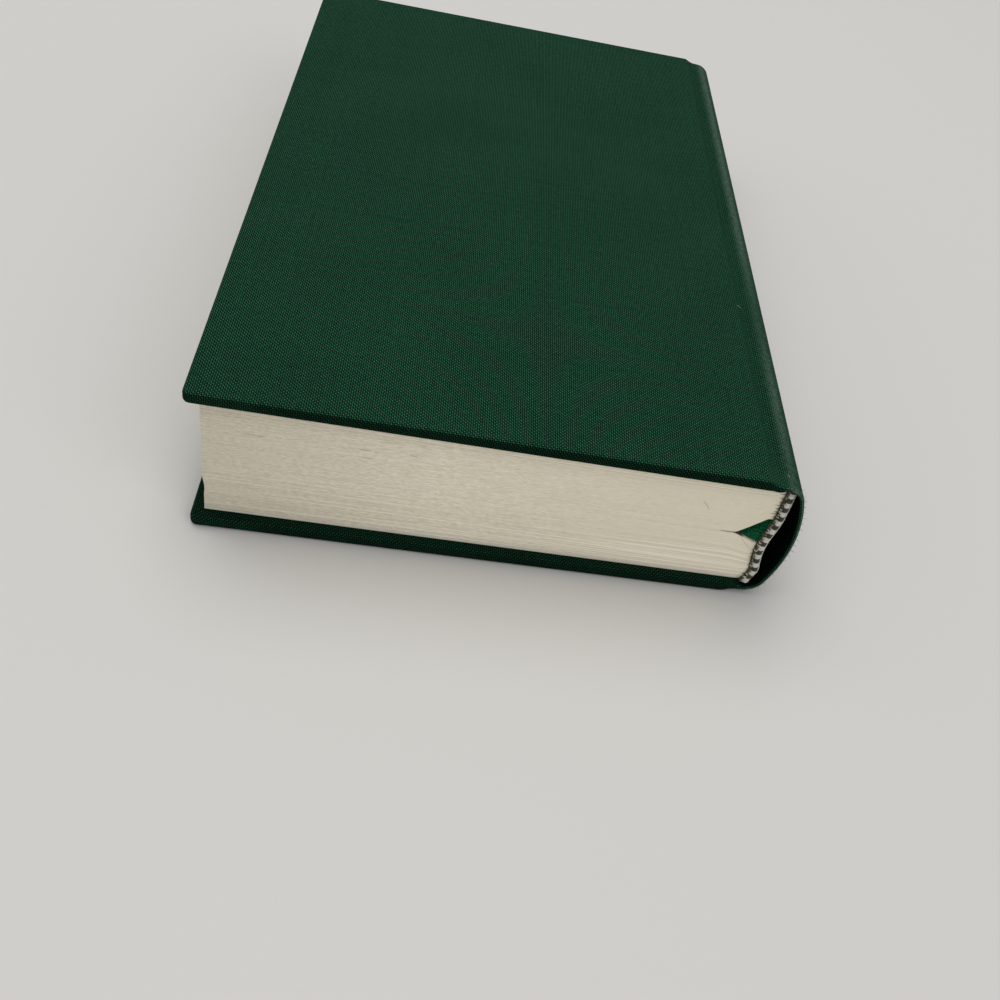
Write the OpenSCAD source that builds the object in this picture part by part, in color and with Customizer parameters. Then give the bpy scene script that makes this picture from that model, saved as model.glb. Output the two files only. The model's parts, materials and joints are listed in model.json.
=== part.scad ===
// Cloth-bound hardback book with a hollow back, lying on its back cover.
// The head edge faces -Y, the spine +X and the front cover +Z.
// Lengths are in millimetres, and book coordinates count x from the covers' fore-edge.

/* [Covers] */
// Height of the covers from head to tail, cloth included
cover_h = 190; // [140:1:260]
// Width of a covered board, from the fore-edge to the joint
cover_w = 112.8; // [80:0.1:170]
// Thickness of the greyboard
board_t = 2.2; // [1.6:0.1:3]
// Thickness of the book cloth
cloth_t = 0.3; // [0.2:0.05:0.45]
// Rounding of the covered edges
edge_r = 0.8; // [0.6:0.05:1.2]
// Rounding of the covered corners, seen from above
corner_r = 1.5; // [1:0.1:3]
// Width of cloth turned in round the boards' inner side
turn_in = 15; // [10:0.5:20]

/* [Spine] */
// Thickness of the closed book at the joints
thick = 33.4; // [24:0.1:50]
// Lift of the front cover from the joint to the fore-edge, in degrees
splay = 1.3; // [0:0.1:2]
// From the board to the bottom of the groove, where the cover hinges
groove_w = 2.3; // [1.6:0.1:4]
// From the bottom of the groove to the crest of the shoulder
shoulder_w = 1.5; // [1:0.1:3]
// Depth of the groove below the cover's face
groove_drop = 1.7; // [1.3:0.1:1.9]
// Depth of the shoulder's crest below the cover's face
shoulder_drop = 1.2; // [0.9:0.1:1.3]
// Radius of the spine's broad curve
spine_r = 37; // [28:0.5:80]
// Radius of the spine's shoulders
shoulder_r = 4.5; // [3:0.1:7]
// Thickness of the card strip inside the spine
strip_t = 0.3; // [0.2:0.05:0.5]
// Reach of the card strip round each shoulder, in degrees
strip_reach = 65; // [40:1:80]

/* [Pages] */
// Cover past the pages along the fore-edge
fore_square = 2.65; // [1.5:0.05:5]
// Cover past the pages at the head, by the fore-edge
head_square = 2.6; // [1.5:0.05:5]
// Cover past the pages at the head, by the spine
head_square_spine = 1.9; // [1.5:0.05:5]
// Cover past the pages at the tail
tail_square = 2.6; // [1.5:0.05:5]
// From the bottom of the groove to the back of the pages
back_reach = 2.3; // [1.6:0.1:3.2]
// Depth of the hollow down the back of the pages
back_dip = 1.1; // [0:0.1:1.6]
// Thickness of the endpapers
paper_t = 0.2; // [0.12:0.02:0.3]
// Air between a closed cover and the pages
page_gap = 0.1; // [0.05:0.01:0.2]
// Number of gatherings that the leaves are sewn in
gatherings = 18; // [8:1:30]
// Most that one gathering's edge lies behind its neighbours' edges
gathering_slip = 0.1; // [0:0.01:0.2]

/* [Parted pages at the head] */
// Height of the gap at the back of the pages
gap_h = 7.1; // [5:0.1:9]
// Depth of the gap towards the fore-edge
gap_w = 5.3; // [3:0.1:7]
// Distance over which the gap closes down the book
gap_run = 16; // [11:0.5:30]

/* [Ribbon marker] */
// Width of the ribbon
ribbon_w = 6.4; // [4:0.1:6.8]
// Thickness of the ribbon
ribbon_t = 0.2; // [0.12:0.02:0.24]
// Length of ribbon glued to the back of the pages
ribbon_glued = 9.5; // [6:0.5:20]
// From the ribbon's hidden end to the pages' tail edge
ribbon_short = 8; // [3:0.5:40]

/* [Bands and linings] */
// Radius of the head and tail bands' bead
bead_r = 0.8; // [0.5:0.05:0.9]
// Height of the bead above the pages' edge
bead_rise = 0.95; // [0.6:0.05:1.2]
// Radius of the thinner front bead, which lies on the pages' edge
front_bead_r = 0.3; // [0.2:0.05:0.35]
// Length along the bead of one light and one dark wrap
wrap_pitch = 2.8; // [1.6:0.1:4]
// Thickness of a dark wrap, as a share of a light one's
dark_wrap = 0.93; // [0.85:0.01:1]
// Height of the band's tape on the back of the pages
tape_h = 10; // [6:0.5:16]
// Thickness of the band's tape
tape_t = 0.25; // [0.15:0.05:0.3]
// Thickness of the mull
mull_t = 0.4; // [0.2:0.05:0.5]
// Width of the mull glued to each board
flange_w = 22; // [12:1:30]
// Thickness of the mull where it is pressed on a board
flange_t = 0.1; // [0.05:0.01:0.15]
// Thickness of the spine lining paper
lining_t = 0.2; // [0.12:0.02:0.3]
// From the pages' edge to the end of the spine lining paper
lining_short = 3; // [1:0.5:8]

/* [Hidden] */

arc_steps = 8;
fit = 0.05;
seat = 0.01;
hinge_clear = 0.3;
over = 1;

cover_t = board_t + 2 * cloth_t;
hinge_x = cover_w + groove_w;
crest_x = hinge_x + shoulder_w;
board_x = cover_w - cloth_t;
head_y = -cover_h / 2;
tail_y = cover_h / 2;

// Spine arcs: the broad curve meets each shoulder at meet_a from the horizontal
mid_z = thick / 2;
half_spine = mid_z - shoulder_drop;
broad_x = crest_x - sqrt(pow(spine_r - shoulder_r, 2) - pow(half_spine - shoulder_r, 2));
meet_a = atan2(half_spine - shoulder_r, crest_x - broad_x);
overall_w = broad_x + spine_r;

// Levels in a cover's own frame: outer face at 0, hinge axis at x = 0, inner side down
board_in = -(cloth_t + board_t);
cover_in = -cover_t;
paste_in = cover_in - paper_t;
leaf_out = paste_in - page_gap;
leaf_in = leaf_out - paper_t;

// Pages
back_x = hinge_x + back_reach;
block_low = -leaf_in;
block_high = leaf_in - seat;
dip_z = 0.39 * thick;
dip_half = 0.3 * thick;
bulge_z = 0.45 * thick;
bulge_half = 0.3 * thick;
step_z = 0.28 * thick;
step_half = 0.12 * thick;
fore_bulge = 0.25;
fore_step = 0.25;

// Layers on the back of the pages, measured out from the leaves
glue_t = 0.02;
tape_in = ribbon_t + 3 * fit;
tape_out = tape_in + tape_t;
bead_out = tape_in - fit + bead_r;
lining_in = tape_out + glue_t;
mull_clear = 0.5;

// Ribbon: it leaves the back of the pages in the middle of the gap
gap_low = 0.43 * thick;
gap_high = gap_low + gap_h;
gap_tip_z = gap_low + 0.28 * gap_h;
ribbon_low = gap_low + (gap_h - ribbon_w) / 2;
ribbon_high = ribbon_low + ribbon_w;
ribbon_lift = 0.05;
slit_clear = 0.12;
back_cover = 1.3;
ribbon_in = 0.3;
lower_run = 0.75;
upper_run = 6.4;
twist_steps = 8;
page_head_y = head_y + head_square_spine;
page_tail_y = tail_y - tail_square;

// One at mid, falling smoothly to nothing at the distance half
function swell(z, mid, half) = abs(z - mid) < half ? pow(cos(90 * (z - mid) / half), 2) : 0;
function back_at(z) = back_x - back_dip * swell(z, dip_z, dip_half);
function fore_at(z) =
    fore_square - fore_bulge * swell(z, bulge_z, bulge_half) + fore_step * swell(z, step_z, step_half);
// Level of a plane at the depth d below the front cover's face
function front_level(x, d) = thick + d / cos(splay) + (hinge_x - x) * tan(splay);
back_high = front_level(back_x, leaf_in);
function reversed(list) = [for (i = [len(list) - 1 : -1 : 0]) list[i]];
function arc(cx, cy, r, from, to) =
    [for (i = [0 : arc_steps])
        let (a = from + (to - from) * i / arc_steps)
            [cx + r * cos(a), cy + r * sin(a)]];

// Spine section from one joint to the other, at the depth t inside the outer face
function crest_at(x) =
    shoulder_drop + (groove_drop - shoulder_drop) * (1 + cos(180 * (x - hinge_x) / shoulder_w)) / 2;
function groove_line(t) =
    [for (i = [0 : arc_steps - 1])
        let (x = hinge_x + hinge_clear / 2 + (shoulder_w - hinge_clear / 2) * i / arc_steps)
            [x, crest_at(x) + t]];
function upside_down(list) = [for (p = list) [p[0], thick - p[1]]];
function spine_arcs(t, reach) = concat(
    arc(crest_x, thick - shoulder_drop - shoulder_r, shoulder_r - t, reach, meet_a),
    arc(broad_x, mid_z, spine_r - t, meet_a, -meet_a),
    arc(crest_x, shoulder_drop + shoulder_r, shoulder_r - t, -meet_a, -reach)
);
function spine_line(t) =
    concat(upside_down(groove_line(t)), spine_arcs(t, 90), reversed(groove_line(t)));

module book() {
    translate([-overall_w / 2, 0, 0]) children();
}

module along_y(from, to) {
    translate([0, to, 0]) rotate([90, 0, 0]) linear_extrude(to - from) children();
}

// A cover is drawn with its hinge axis at x = 0 and is hung on the book here
module as_front() {
    book() translate([hinge_x, 0, thick]) rotate([0, splay, 0]) children();
}

module as_back() {
    book() translate([hinge_x, 0, 0]) mirror([0, 0, 1]) children();
}

// Slab with its outer face at z = -inset, rounded on all sides but the joint's
module slab(inset, joint_x) {
    x = -hinge_x + inset;
    y = cover_h / 2 - inset;
    z = cover_t - inset;
    r = edge_r - inset;
    c = corner_r - inset;
    intersection() {
        along_y(-y, y) polygon(concat(
            arc(x + r, -inset - r, r, 90, 180), arc(x + r, -z + r, r, 180, 270),
            [[joint_x, -z], [joint_x, -inset]]
        ));
        translate([-hinge_x, 0, 0]) rotate([90, 0, 90]) linear_extrude(hinge_x) polygon(concat(
            arc(y - r, -inset - r, r, 0, 90), arc(-y + r, -inset - r, r, 90, 180),
            arc(-y + r, -z + r, r, 180, 270), arc(y - r, -z + r, r, 270, 360)
        ));
        translate([0, 0, -cover_t]) linear_extrude(cover_t) polygon(concat(
            arc(x + c, y - c, c, 90, 180), arc(x + c, -y + c, c, 180, 270),
            [[joint_x, -y], [joint_x, y]]
        ));
    }
}

// Cloth from the board's edge down into the groove, t thick and down to floor_z at least
function dip_at(x) = groove_drop * (1 - cos(180 * (x + hinge_x - board_x) / (hinge_x - board_x))) / 2;
module joint_cloth(t, from, to, floor_z = 0) {
    start = board_x - hinge_x;
    run = -hinge_clear / 2 - start;
    xs = [for (i = [0 : arc_steps]) start + run * i / arc_steps];
    along_y(from, to) polygon(concat(
        [for (x = xs) [x, -dip_at(x)]], reversed([for (x = xs) [x, min(-dip_at(x) - t, floor_z)]])
    ));
}

module cover_board() {
    slab(cloth_t, board_x - hinge_x);
}

module cover_cloth() {
    hem_t = 2 * cloth_t + strip_t;
    window = cover_h / 2 - turn_in;
    difference() {
        union() {
            slab(0, cover_w - hinge_x - fit);
            joint_cloth(cloth_t, head_y, tail_y);
            joint_cloth(hem_t, head_y, -window, cover_in);
            joint_cloth(hem_t, window, tail_y, cover_in);
        }
        cover_board();
        translate([turn_in - hinge_x, -window, cover_in - over])
            cube([cover_w - turn_in + over, 2 * window, over + cloth_t]);
    }
}

module mull_flange() {
    y = cover_h / 2 - turn_in - fit;
    translate([board_x - hinge_x - flange_w, -y, board_in - flange_t])
        cube([flange_w, 2 * y, flange_t]);
}

// The paper lies on the turn-ins and sinks between them on to the board
module pastedown() {
    y = cover_h / 2 - turn_in - fit;
    left = turn_in - hinge_x + fit;
    right = board_x - hinge_x;
    step_x = right - flange_w - fit;
    floor_z = board_in - paper_t;
    difference() {
        union() {
            in_trim() translate([fore_square - hinge_x, head_y, paste_in])
                cube([hinge_x - fore_square - hinge_clear / 2, cover_h, paper_t]);
            translate([left, -y, paste_in]) cube([right - left, 2 * y, board_in - paste_in]);
        }
        translate([left + paper_t, -y + paper_t, paste_in - over])
            cube([step_x - left - 2 * paper_t, 2 * (y - paper_t), floor_z - paste_in + over]);
        translate([left + paper_t, -y + paper_t, paste_in - over])
            cube([right - left - 2 * paper_t, 2 * (y - paper_t), floor_z - flange_t - paste_in + over]);
        translate([step_x, -y - over, board_in - flange_t])
            cube([right - step_x + over, 2 * (y + over), flange_t + over]);
    }
}

// The outline that pages are trimmed to, in a cover's frame
module trim_line(slip = 0) {
    slope = (head_square_spine - head_square) / (back_x - fore_square);
    near = fore_square - over;
    far = back_x + over;
    polygon([
        [near, head_y + head_square - slope * over + slip],
        [far, head_y + head_square_spine + slope * over + slip],
        [far, page_tail_y - slip],
        [near, page_tail_y - slip]
    ]);
}

module in_trim() {
    intersection() {
        children();
        translate([-hinge_x, 0, -thick]) linear_extrude(2 * thick) trim_line();
    }
}

module flyleaf() {
    in_trim() translate([fore_square - hinge_x, head_y, leaf_in])
        cube([hinge_x - fore_square, cover_h, paper_t]);
}

module front_board() { color("#8a8378") as_front() cover_board(); }
module back_board() { color("#8a8378") as_back() cover_board(); }
module front_cloth() { color("#1c4632") as_front() cover_cloth(); }
module back_cloth() { color("#1c4632") as_back() cover_cloth(); }
module front_mull_flange() { color("#d9d4c4") as_front() mull_flange(); }
module back_mull_flange() { color("#d9d4c4") as_back() mull_flange(); }
module front_pastedown() { color("#e6e0cf") as_front() pastedown(); }
module back_pastedown() { color("#e6e0cf") as_back() pastedown(); }
module front_flyleaf() { color("#e6e0cf") as_front() flyleaf(); }
module back_flyleaf() { color("#e6e0cf") as_back() flyleaf(); }

module strip_solid() {
    along_y(head_y + cloth_t, tail_y - cloth_t) polygon(concat(
        spine_arcs(cloth_t, strip_reach), reversed(spine_arcs(cloth_t + strip_t, strip_reach))
    ));
}

module spine_strip() { color("#b9a98a") book() strip_solid(); }

module spine_skin(t, from, to) {
    along_y(from, to) polygon(concat(spine_line(0), reversed(spine_line(t))));
}

module spine_cloth() {
    hem_t = 2 * cloth_t + strip_t;
    color("#1c4632") book() difference() {
        union() {
            spine_skin(cloth_t, head_y, tail_y);
            spine_skin(hem_t, head_y, head_y + turn_in);
            spine_skin(hem_t, tail_y - turn_in, tail_y);
        }
        strip_solid();
    }
}

// Levels up the block, closer together than its waves are long
level_steps = 24;
function levels(low, high) = [for (i = [0 : level_steps]) low + (high - low) * i / level_steps];

// Level of the share w of the way up the leaves, which fan out from the back to the fore-edge
function leaf_level(x, w) = block_low + (front_level(x, block_high) - block_low) * w;

// One gathering, as trimmed as its neighbours or a little shorter
module gathering(i) {
    w0 = i / gatherings;
    w1 = (i + 1) / gatherings;
    lap = i < gatherings - 1 ? seat : 0;
    slip = gathering_slip * (1 + sin(137.5 * i)) / 2;
    steps = 3;
    shares = [for (k = [0 : steps]) w0 + (w1 - w0) * k / steps];
    intersection() {
        along_y(head_y, tail_y) polygon(concat(
            [for (w = shares) let (z = leaf_level(back_x, w)) [back_at(z), z + (w == w1 ? lap : 0)]],
            reversed([for (w = shares) let (z = leaf_level(fore_square, w))
                [fore_at(z) + slip, z + (w == w1 ? lap : 0)]])
        ));
        translate([0, 0, -over]) linear_extrude(2 * thick) trim_line(slip);
    }
}

// The ribbon comes up the back of the pages, turns in at the gap's mouth and twists till it lies flat
// between the leaves. Its lower edge runs along the gap's lower side to the tip and becomes the edge
// nearer the fore-edge; its upper edge sinks to the same leaf deeper in the gap.
upper_x = back_at(ribbon_high) + glue_t + ribbon_lift + ribbon_t / 2;
lower_x = back_at(ribbon_low) + glue_t + ribbon_lift + ribbon_t / 2;
tip_x = back_at(gap_low) - gap_w + ribbon_t;
slit_z = gap_tip_z;
slit_high_x = back_at(slit_z) - back_cover;
slit_low_x = slit_high_x - ribbon_w;
ribbon_end = page_tail_y - ribbon_short;
function on_back(y) = [[upper_x, y, ribbon_high], [lower_x, y, ribbon_low]];
function in_slit(y) = [[slit_high_x, y, slit_z], [slit_low_x, y, slit_z]];
function lower_edge(w) = [
    lower_x + (tip_x - lower_x) * w,
    page_head_y + ribbon_in + lower_run * w * w,
    ribbon_low + (slit_z - ribbon_low) * w
];
function upper_edge(w) = [
    upper_x + (slit_high_x - upper_x) * w,
    page_head_y + ribbon_in + upper_run * w,
    ribbon_high - (ribbon_high - slit_z) * (w + 3 * w * w) / 4
];
ribbon_path = concat(
    [for (y = [ribbon_glued, ribbon_glued / 2, 4 * ribbon_in, 2 * ribbon_in]) on_back(page_head_y + y)],
    [for (i = [0 : twist_steps]) [upper_edge(i / twist_steps), lower_edge(i / twist_steps)]],
    [[
        [slit_high_x, page_head_y + 3 * upper_run / 2, slit_z],
        [(tip_x + slit_low_x) / 2, page_head_y + upper_run / 2, slit_z]
    ]],
    [for (y = [page_head_y + 2 * upper_run, (page_head_y + ribbon_end) / 2, ribbon_end]) in_slit(y)]
);

function unit(v) = v / norm(v);
// A strip t thick between two edge lines. Both of its faces are split along the same diagonals, so that
// they stay apart where it twists
module strip_between(path, t) {
    last = len(path) - 1;
    sides = [for (i = [0 : last])
        let (
            before = path[max(i - 1, 0)],
            after = path[min(i + 1, last)],
            run = (after[0] + after[1] - before[0] - before[1]) / 2,
            across = unit(path[i][1] - path[i][0]),
            up = unit(cross(run, across)) * t / 2,
            a = path[i][0],
            b = path[i][1]
        )
        [a + up, b + up, b - up, a - up]
    ];
    points = [for (side = sides) for (p = side) p];
    faces = concat(
        [[3, 2, 1, 0]],
        [for (i = [0 : last - 1]) for (k = [0 : 3])
            let (a = 4 * i + k, b = 4 * i + (k + 1) % 4)
            for (f = k < 2 ? [[a, b, a + 4], [b, b + 4, a + 4]] : [[a, b, b + 4], [a, b + 4, a + 4]]) f],
        [[4 * last, 4 * last + 1, 4 * last + 2, 4 * last + 3]]
    );
    polyhedron(points, faces);
}

module ribbon_marker() {
    color("#0b5a3a") book() strip_between(ribbon_path, ribbon_t);
}

// The leaves part at the head, where the ribbon goes in between them
module parting() {
    sliver = 0.1;
    mouth_x = back_at(gap_high) + over;
    spread = (mouth_x - tip_x) / (mouth_x - over - tip_x);
    hull() {
        along_y(page_head_y - over, page_head_y - over + sliver) polygon([
            [tip_x - ribbon_t, gap_tip_z],
            [mouth_x, gap_tip_z + (gap_high - gap_tip_z) * spread],
            [mouth_x, gap_tip_z + (gap_low - gap_tip_z) * spread]
        ]);
        along_y(page_head_y + gap_run, page_head_y + gap_run + sliver) polygon([
            [slit_low_x, slit_z - sliver], [slit_high_x, slit_z - sliver],
            [slit_high_x, slit_z + sliver], [slit_low_x, slit_z + sliver]
        ]);
    }
}

module slit() {
    from = page_head_y + ribbon_in + lower_run;
    translate([slit_low_x - slit_clear, from, slit_z - ribbon_t / 2 - slit_clear])
        cube([ribbon_w + 2 * slit_clear, ribbon_end - from + slit_clear, ribbon_t + 2 * slit_clear]);
}

module text_block() {
    color("#d8d0ba") book() difference() {
        for (i = [0 : gatherings - 1]) gathering(i);
        parting();
        slit();
    }
}

// A layer on the back of the pages, between two depths and two heights
module back_layer(t0, t1, from, to) {
    zs = levels(block_low, back_high);
    along_y(from, to) polygon(concat(
        [for (z = zs) [back_at(z) + t0, z]], reversed([for (z = zs) [back_at(z) + t1, z]])
    ));
}

// One wrap of thread round the bead, fullest at its middle
module wrap(r, h) {
    crown = 0.12 * r;
    rotate_extrude($fn = 20) polygon([
        [0, 0], [r - crown, 0], [r - crown / 4, h / 4], [r, h / 2],
        [r - crown / 4, 3 * h / 4], [r - crown, h], [0, h]
    ]);
}

// Two beads of light and dark wraps on a tape. side is -1 at the head and 1 at the tail
module band(edge_y, side) {
    pairs = round((back_high - block_low) / wrap_pitch);
    wrap_h = (back_high - block_low) / pairs / 2;
    bead_y = edge_y + side * (bead_rise - bead_r);
    front_y = edge_y + side * (front_bead_r + fit);
    front_out = tape_in + 2 * fit - front_bead_r;
    for (i = [0 : 2 * pairs - 1]) {
        z = block_low + i * wrap_h;
        x = back_at(z + wrap_h / 2);
        h = wrap_h + (i < 2 * pairs - 1 ? fit : 0);
        translate([x + bead_out, bead_y, z]) wrap(i % 2 == 0 ? bead_r : dark_wrap * bead_r, h);
        translate([x + front_out, front_y, z]) wrap(i % 2 == 0 ? dark_wrap * front_bead_r : front_bead_r, h);
    }
    ends = [bead_y, front_y, edge_y - side * tape_h];
    back_layer(tape_in, tape_out, min(ends), max(ends));
}

module head_band() { color("#cfcabb") book() band(page_head_y, -1); }
module tail_band() { color("#cfcabb") book() band(page_tail_y, 1); }

module spine_mull() {
    far = tape_h + mull_clear;
    color("#d9d4c4") book() back_layer(glue_t, mull_t, page_head_y + far, page_tail_y - far);
}

module spine_lining() {
    out = lining_in + lining_t;
    color("#9c8462") book()
        back_layer(lining_in, out, page_head_y + lining_short, page_tail_y - lining_short);
}

front_board();
front_cloth();
front_mull_flange();
front_pastedown();
back_board();
back_cloth();
back_mull_flange();
back_pastedown();
spine_strip();
spine_cloth();
text_block();
front_flyleaf();
back_flyleaf();
spine_mull();
spine_lining();
head_band();
tail_band();
ribbon_marker();
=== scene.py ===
import json
import math

import bmesh
import bpy
import numpy as np
from bpy.props import FloatProperty, FloatVectorProperty, IntProperty, PointerProperty
from mathutils import Matrix, Vector


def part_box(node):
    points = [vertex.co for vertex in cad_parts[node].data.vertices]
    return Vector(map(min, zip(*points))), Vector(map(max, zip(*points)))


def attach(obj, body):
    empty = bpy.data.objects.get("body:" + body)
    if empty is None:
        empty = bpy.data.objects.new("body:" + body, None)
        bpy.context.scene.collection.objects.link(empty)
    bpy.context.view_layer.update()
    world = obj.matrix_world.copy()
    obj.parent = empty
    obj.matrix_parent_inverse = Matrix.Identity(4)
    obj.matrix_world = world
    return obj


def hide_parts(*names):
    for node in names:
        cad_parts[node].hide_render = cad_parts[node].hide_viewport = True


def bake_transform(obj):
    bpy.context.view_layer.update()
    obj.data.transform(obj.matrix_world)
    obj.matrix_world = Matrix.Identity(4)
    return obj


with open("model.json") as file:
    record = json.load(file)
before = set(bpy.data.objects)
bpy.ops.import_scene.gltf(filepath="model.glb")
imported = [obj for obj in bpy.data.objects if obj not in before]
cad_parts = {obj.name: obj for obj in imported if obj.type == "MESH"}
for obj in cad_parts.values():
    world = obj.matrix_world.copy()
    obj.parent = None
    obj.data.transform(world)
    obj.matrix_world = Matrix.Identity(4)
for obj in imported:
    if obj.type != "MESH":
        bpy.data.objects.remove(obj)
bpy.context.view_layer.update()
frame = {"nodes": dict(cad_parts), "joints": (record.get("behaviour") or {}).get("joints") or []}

bl_info = {
    "name": "Cloth-Bound Book",
    "version": (1, 0, 0),
    "blender": (4, 5, 0),
    "location": "3D View > Sidebar > Book",
    "description": "Dresses a packed hardback book with cloth, leaves, sewn bands and a ribbon",
    "category": "Object",
}

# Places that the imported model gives, in metres
MM = 0.001
HINGES = {joint["child"]: joint["pos_m"] for joint in frame["joints"]}
HINGE_X, _, THICK = HINGES["front_cover"]
(FORE_X, HEAD_Y, _), (_, TAIL_Y, COVER_DEPTH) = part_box("back_cloth")
BOARD_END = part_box("back_board")[1].x - HINGE_X
SPINE_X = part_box("spine_cloth")[1].x
PASTE_END = 1.6 * MM
MULL_FLANGE = 22 * MM

# Each cover with the name of its side
SIDES = {"front_cover": "front", "back_cover": "back"}
# Numbers of the Mix node's sockets, because its float and colour sockets have the same names
FACTOR, FLOAT_A, FLOAT_B, COLOUR_A, COLOUR_B, MIXED_COLOUR = 0, 2, 3, 6, 7, 2
# Share of the gap by which the leaves below it are pressed down; those above it are lifted by the rest
GAP_SUNK = 0.28
# A leaf's height share times this is the leaf number that the pages' material reads
LEAF_NUMBERS = 268
# Points nearer than this are one point, in metres
WELD = 1e-7

# Small marks that the photo shows: name, paths and radius in millimetres, material, slot, and whether the
# mark lies on the joint
MARKS = (
    ("joint_lint", [[(51.2, -36.0, 33.2), (51.8, -36.6, 33.25), (52.5, -37.1, 33.0)]],
     0.06, "lint", "book_cloth", True),
    ("spine_lint", [[(55.35, -91.0, 32.25), (55.6, -91.2, 32.4), (55.75, -91.6, 32.2)]],
     0.08, "lint", "book_cloth", False),
    ("cloth_fibre", [[(57.4, -94.9, 31.4), (57.9, -94.7, 31.8), (58.2, -94.6, 32.7)]],
     0.035, "dirt", "book_cloth", False),
    ("leaf_marks", [
        [(-50.7, -92.45, 25.4), (-48.5, -92.47, 25.2), (-46.5, -92.48, 25.1)],
        [(40.5, -93.06, 24.2), (41.6, -93.16, 23.3), (42.3, -93.06, 22.0)],
        [(10.3, -92.85, 20.9), (10.5, -92.87, 20.8)],
        # A painted shadow: a dark line along the crack left of the gap's tip
        [(46.2, -93.07, 16.7), (48.6, -93.07, 16.55), (50.6, -93.05, 16.45)],
        [(-28.4, -92.6, 25.4), (-27.2, -92.6, 25.4), (-26.0, -92.62, 25.3)],
        [(-25.4, -92.62, 25.2), (-24.9, -92.62, 25.1), (-24.4, -92.62, 25.0)],
        [(-27.6, -92.61, 23.4), (-26.7, -92.61, 23.35), (-25.6, -92.62, 23.2)],
        [(-18.6, -92.66, 25.6), (-17.8, -92.67, 25.5), (-16.9, -92.67, 25.4)],
    ], 0.035, "dirt", "page_paper", False),
    ("loose_hair", [[(50.8, -93.1, 15.9), (51.7, -93.3, 14.2), (53.9, -93.12, 12.4)]],
     0.03, "hair", "page_paper", False),
)


def linear(hex_colour):
    """An sRGB hex colour as the linear red, green, blue and alpha that sockets take."""
    values = [int(hex_colour[i:i + 2], 16) / 255 for i in (1, 3, 5)]
    return [v / 12.92 if v <= 0.04045 else ((v + 0.055) / 1.055) ** 2.4 for v in values] + [1.0]


def length(name, description, millimetres):
    """A length property with its default in millimetres."""
    return FloatProperty(name=name, description=description, default=millimetres * MM, min=0, unit="LENGTH")


def colour(name, description, hex_colour):
    """A colour property with its default in sRGB hex."""
    return FloatVectorProperty(
        name=name, description=description, subtype="COLOR", size=4, min=0, max=1,
        default=linear(hex_colour),
    )


class CaseSizes(bpy.types.PropertyGroup):
    """Sizes of the cloth case."""

    cloth_t: length("Cloth", "Thickness of the book cloth", 0.3)
    strip_t: length("Spine strip", "Thickness of the card strip between the spine's layers of cloth", 0.3)
    turn_in: length("Turn-in", "Width of cloth turned in round the boards", 15)
    edge_r: length("Edge rounding", "Rounding of the covered edges", 0.8)
    corner_r: length("Corner rounding", "Rounding of the covered corners, seen from above", 1.5)
    groove_drop: length("Groove", "Depth of the groove below the cover's face", 1.7)
    groove_run: length("Groove run", "Distance over which the groove deepens from the head and the tail", 7)
    shoulder_drop: length("Shoulder drop", "Depth of the shoulder's crest below the cover's face", 1.2)
    shoulder_w: length("Shoulder width", "From the bottom of the groove to the shoulder's crest", 1.5)
    shoulder_r: length("Shoulder radius", "Radius of the spine's shoulders", 4.5)
    spine_r: length("Spine radius", "Radius of the spine's broad curve", 37)
    thread: length("Thread spacing", "Spacing of the threads in the cloth", 0.43)
    splay: FloatProperty(
        name="Splay", description="Lift of the front cover from the joint to the fore-edge",
        default=math.radians(1.3), subtype="ANGLE",
    )


class PageSizes(bpy.types.PropertyGroup):
    """Sizes of the sewn pages."""

    paper_t: length("Endpaper", "Thickness of the endpapers", 0.2)
    page_gap: length("Air", "Air between a closed cover and the pages", 0.1)
    back_foot: length("Back foot", "How far the back of the pages is drawn in at its lowest leaves", 1.2)
    fore_square: length("Fore-edge square", "Cover past the pages along the fore-edge", 2.65)
    head_square: length("Head square", "Cover past the pages at the head, by the fore-edge", 2.6)
    head_square_spine: length(
        "Head square at the spine", "Cover past the pages at the head, by the spine", 1.9
    )
    tail_square: length("Tail square", "Cover past the pages at the tail", 2.6)
    back_reach: length("Back", "From the bottom of the groove to the back of the pages", 2.3)
    back_dip: length("Back hollow", "Depth of the hollow down the back of the pages", 1.1)
    fold_notch: length("Fold notch", "Depth of the notches between the folded gatherings", 0.9)
    slip: length("Slip", "Most that one gathering's edge lies behind its neighbours' edges", 0.045)
    leaf_slip: length("Leaf slip", "Unevenness of single leaves along the trimmed edges", 0.01)
    gap_h: length("Gap height", "Height of the gap at the back of the pages", 7.1)
    gap_w: length("Gap depth", "Depth of the gap towards the fore-edge", 4.7)
    gap_run: length("Gap run", "Distance over which the gap closes down the book", 16)
    gatherings: IntProperty(name="Gatherings", description="Number of sewn gatherings", default=18, min=1)
    sheets: IntProperty(name="Sheets", description="Number of leaf edges modelled", default=126, min=20)


class TrimSizes(bpy.types.PropertyGroup):
    """Sizes of the bands and the ribbon."""

    ribbon_w: length("Ribbon width", "Width of the ribbon marker", 6.4)
    ribbon_t: length("Ribbon", "Thickness of the ribbon", 0.2)
    ribbon_glued: length("Ribbon glued", "Length of ribbon glued to the back of the pages", 9.5)
    ribbon_short: length("Ribbon end", "From the ribbon's hidden end to the pages' tail edge", 8)
    bead_r: length("Bead radius", "Radius of the bands' bead", 0.8)
    bead_rise: length("Bead rise", "Height of the bead above the pages' edge", 0.95)
    thread_r: length("Silk", "Radius of the band's thread", 0.17)
    tape_h: length("Tape", "Height of the band's tape on the back of the pages", 10)
    tape_t: length("Tape thickness", "Thickness of the band's tape", 0.25)


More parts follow.
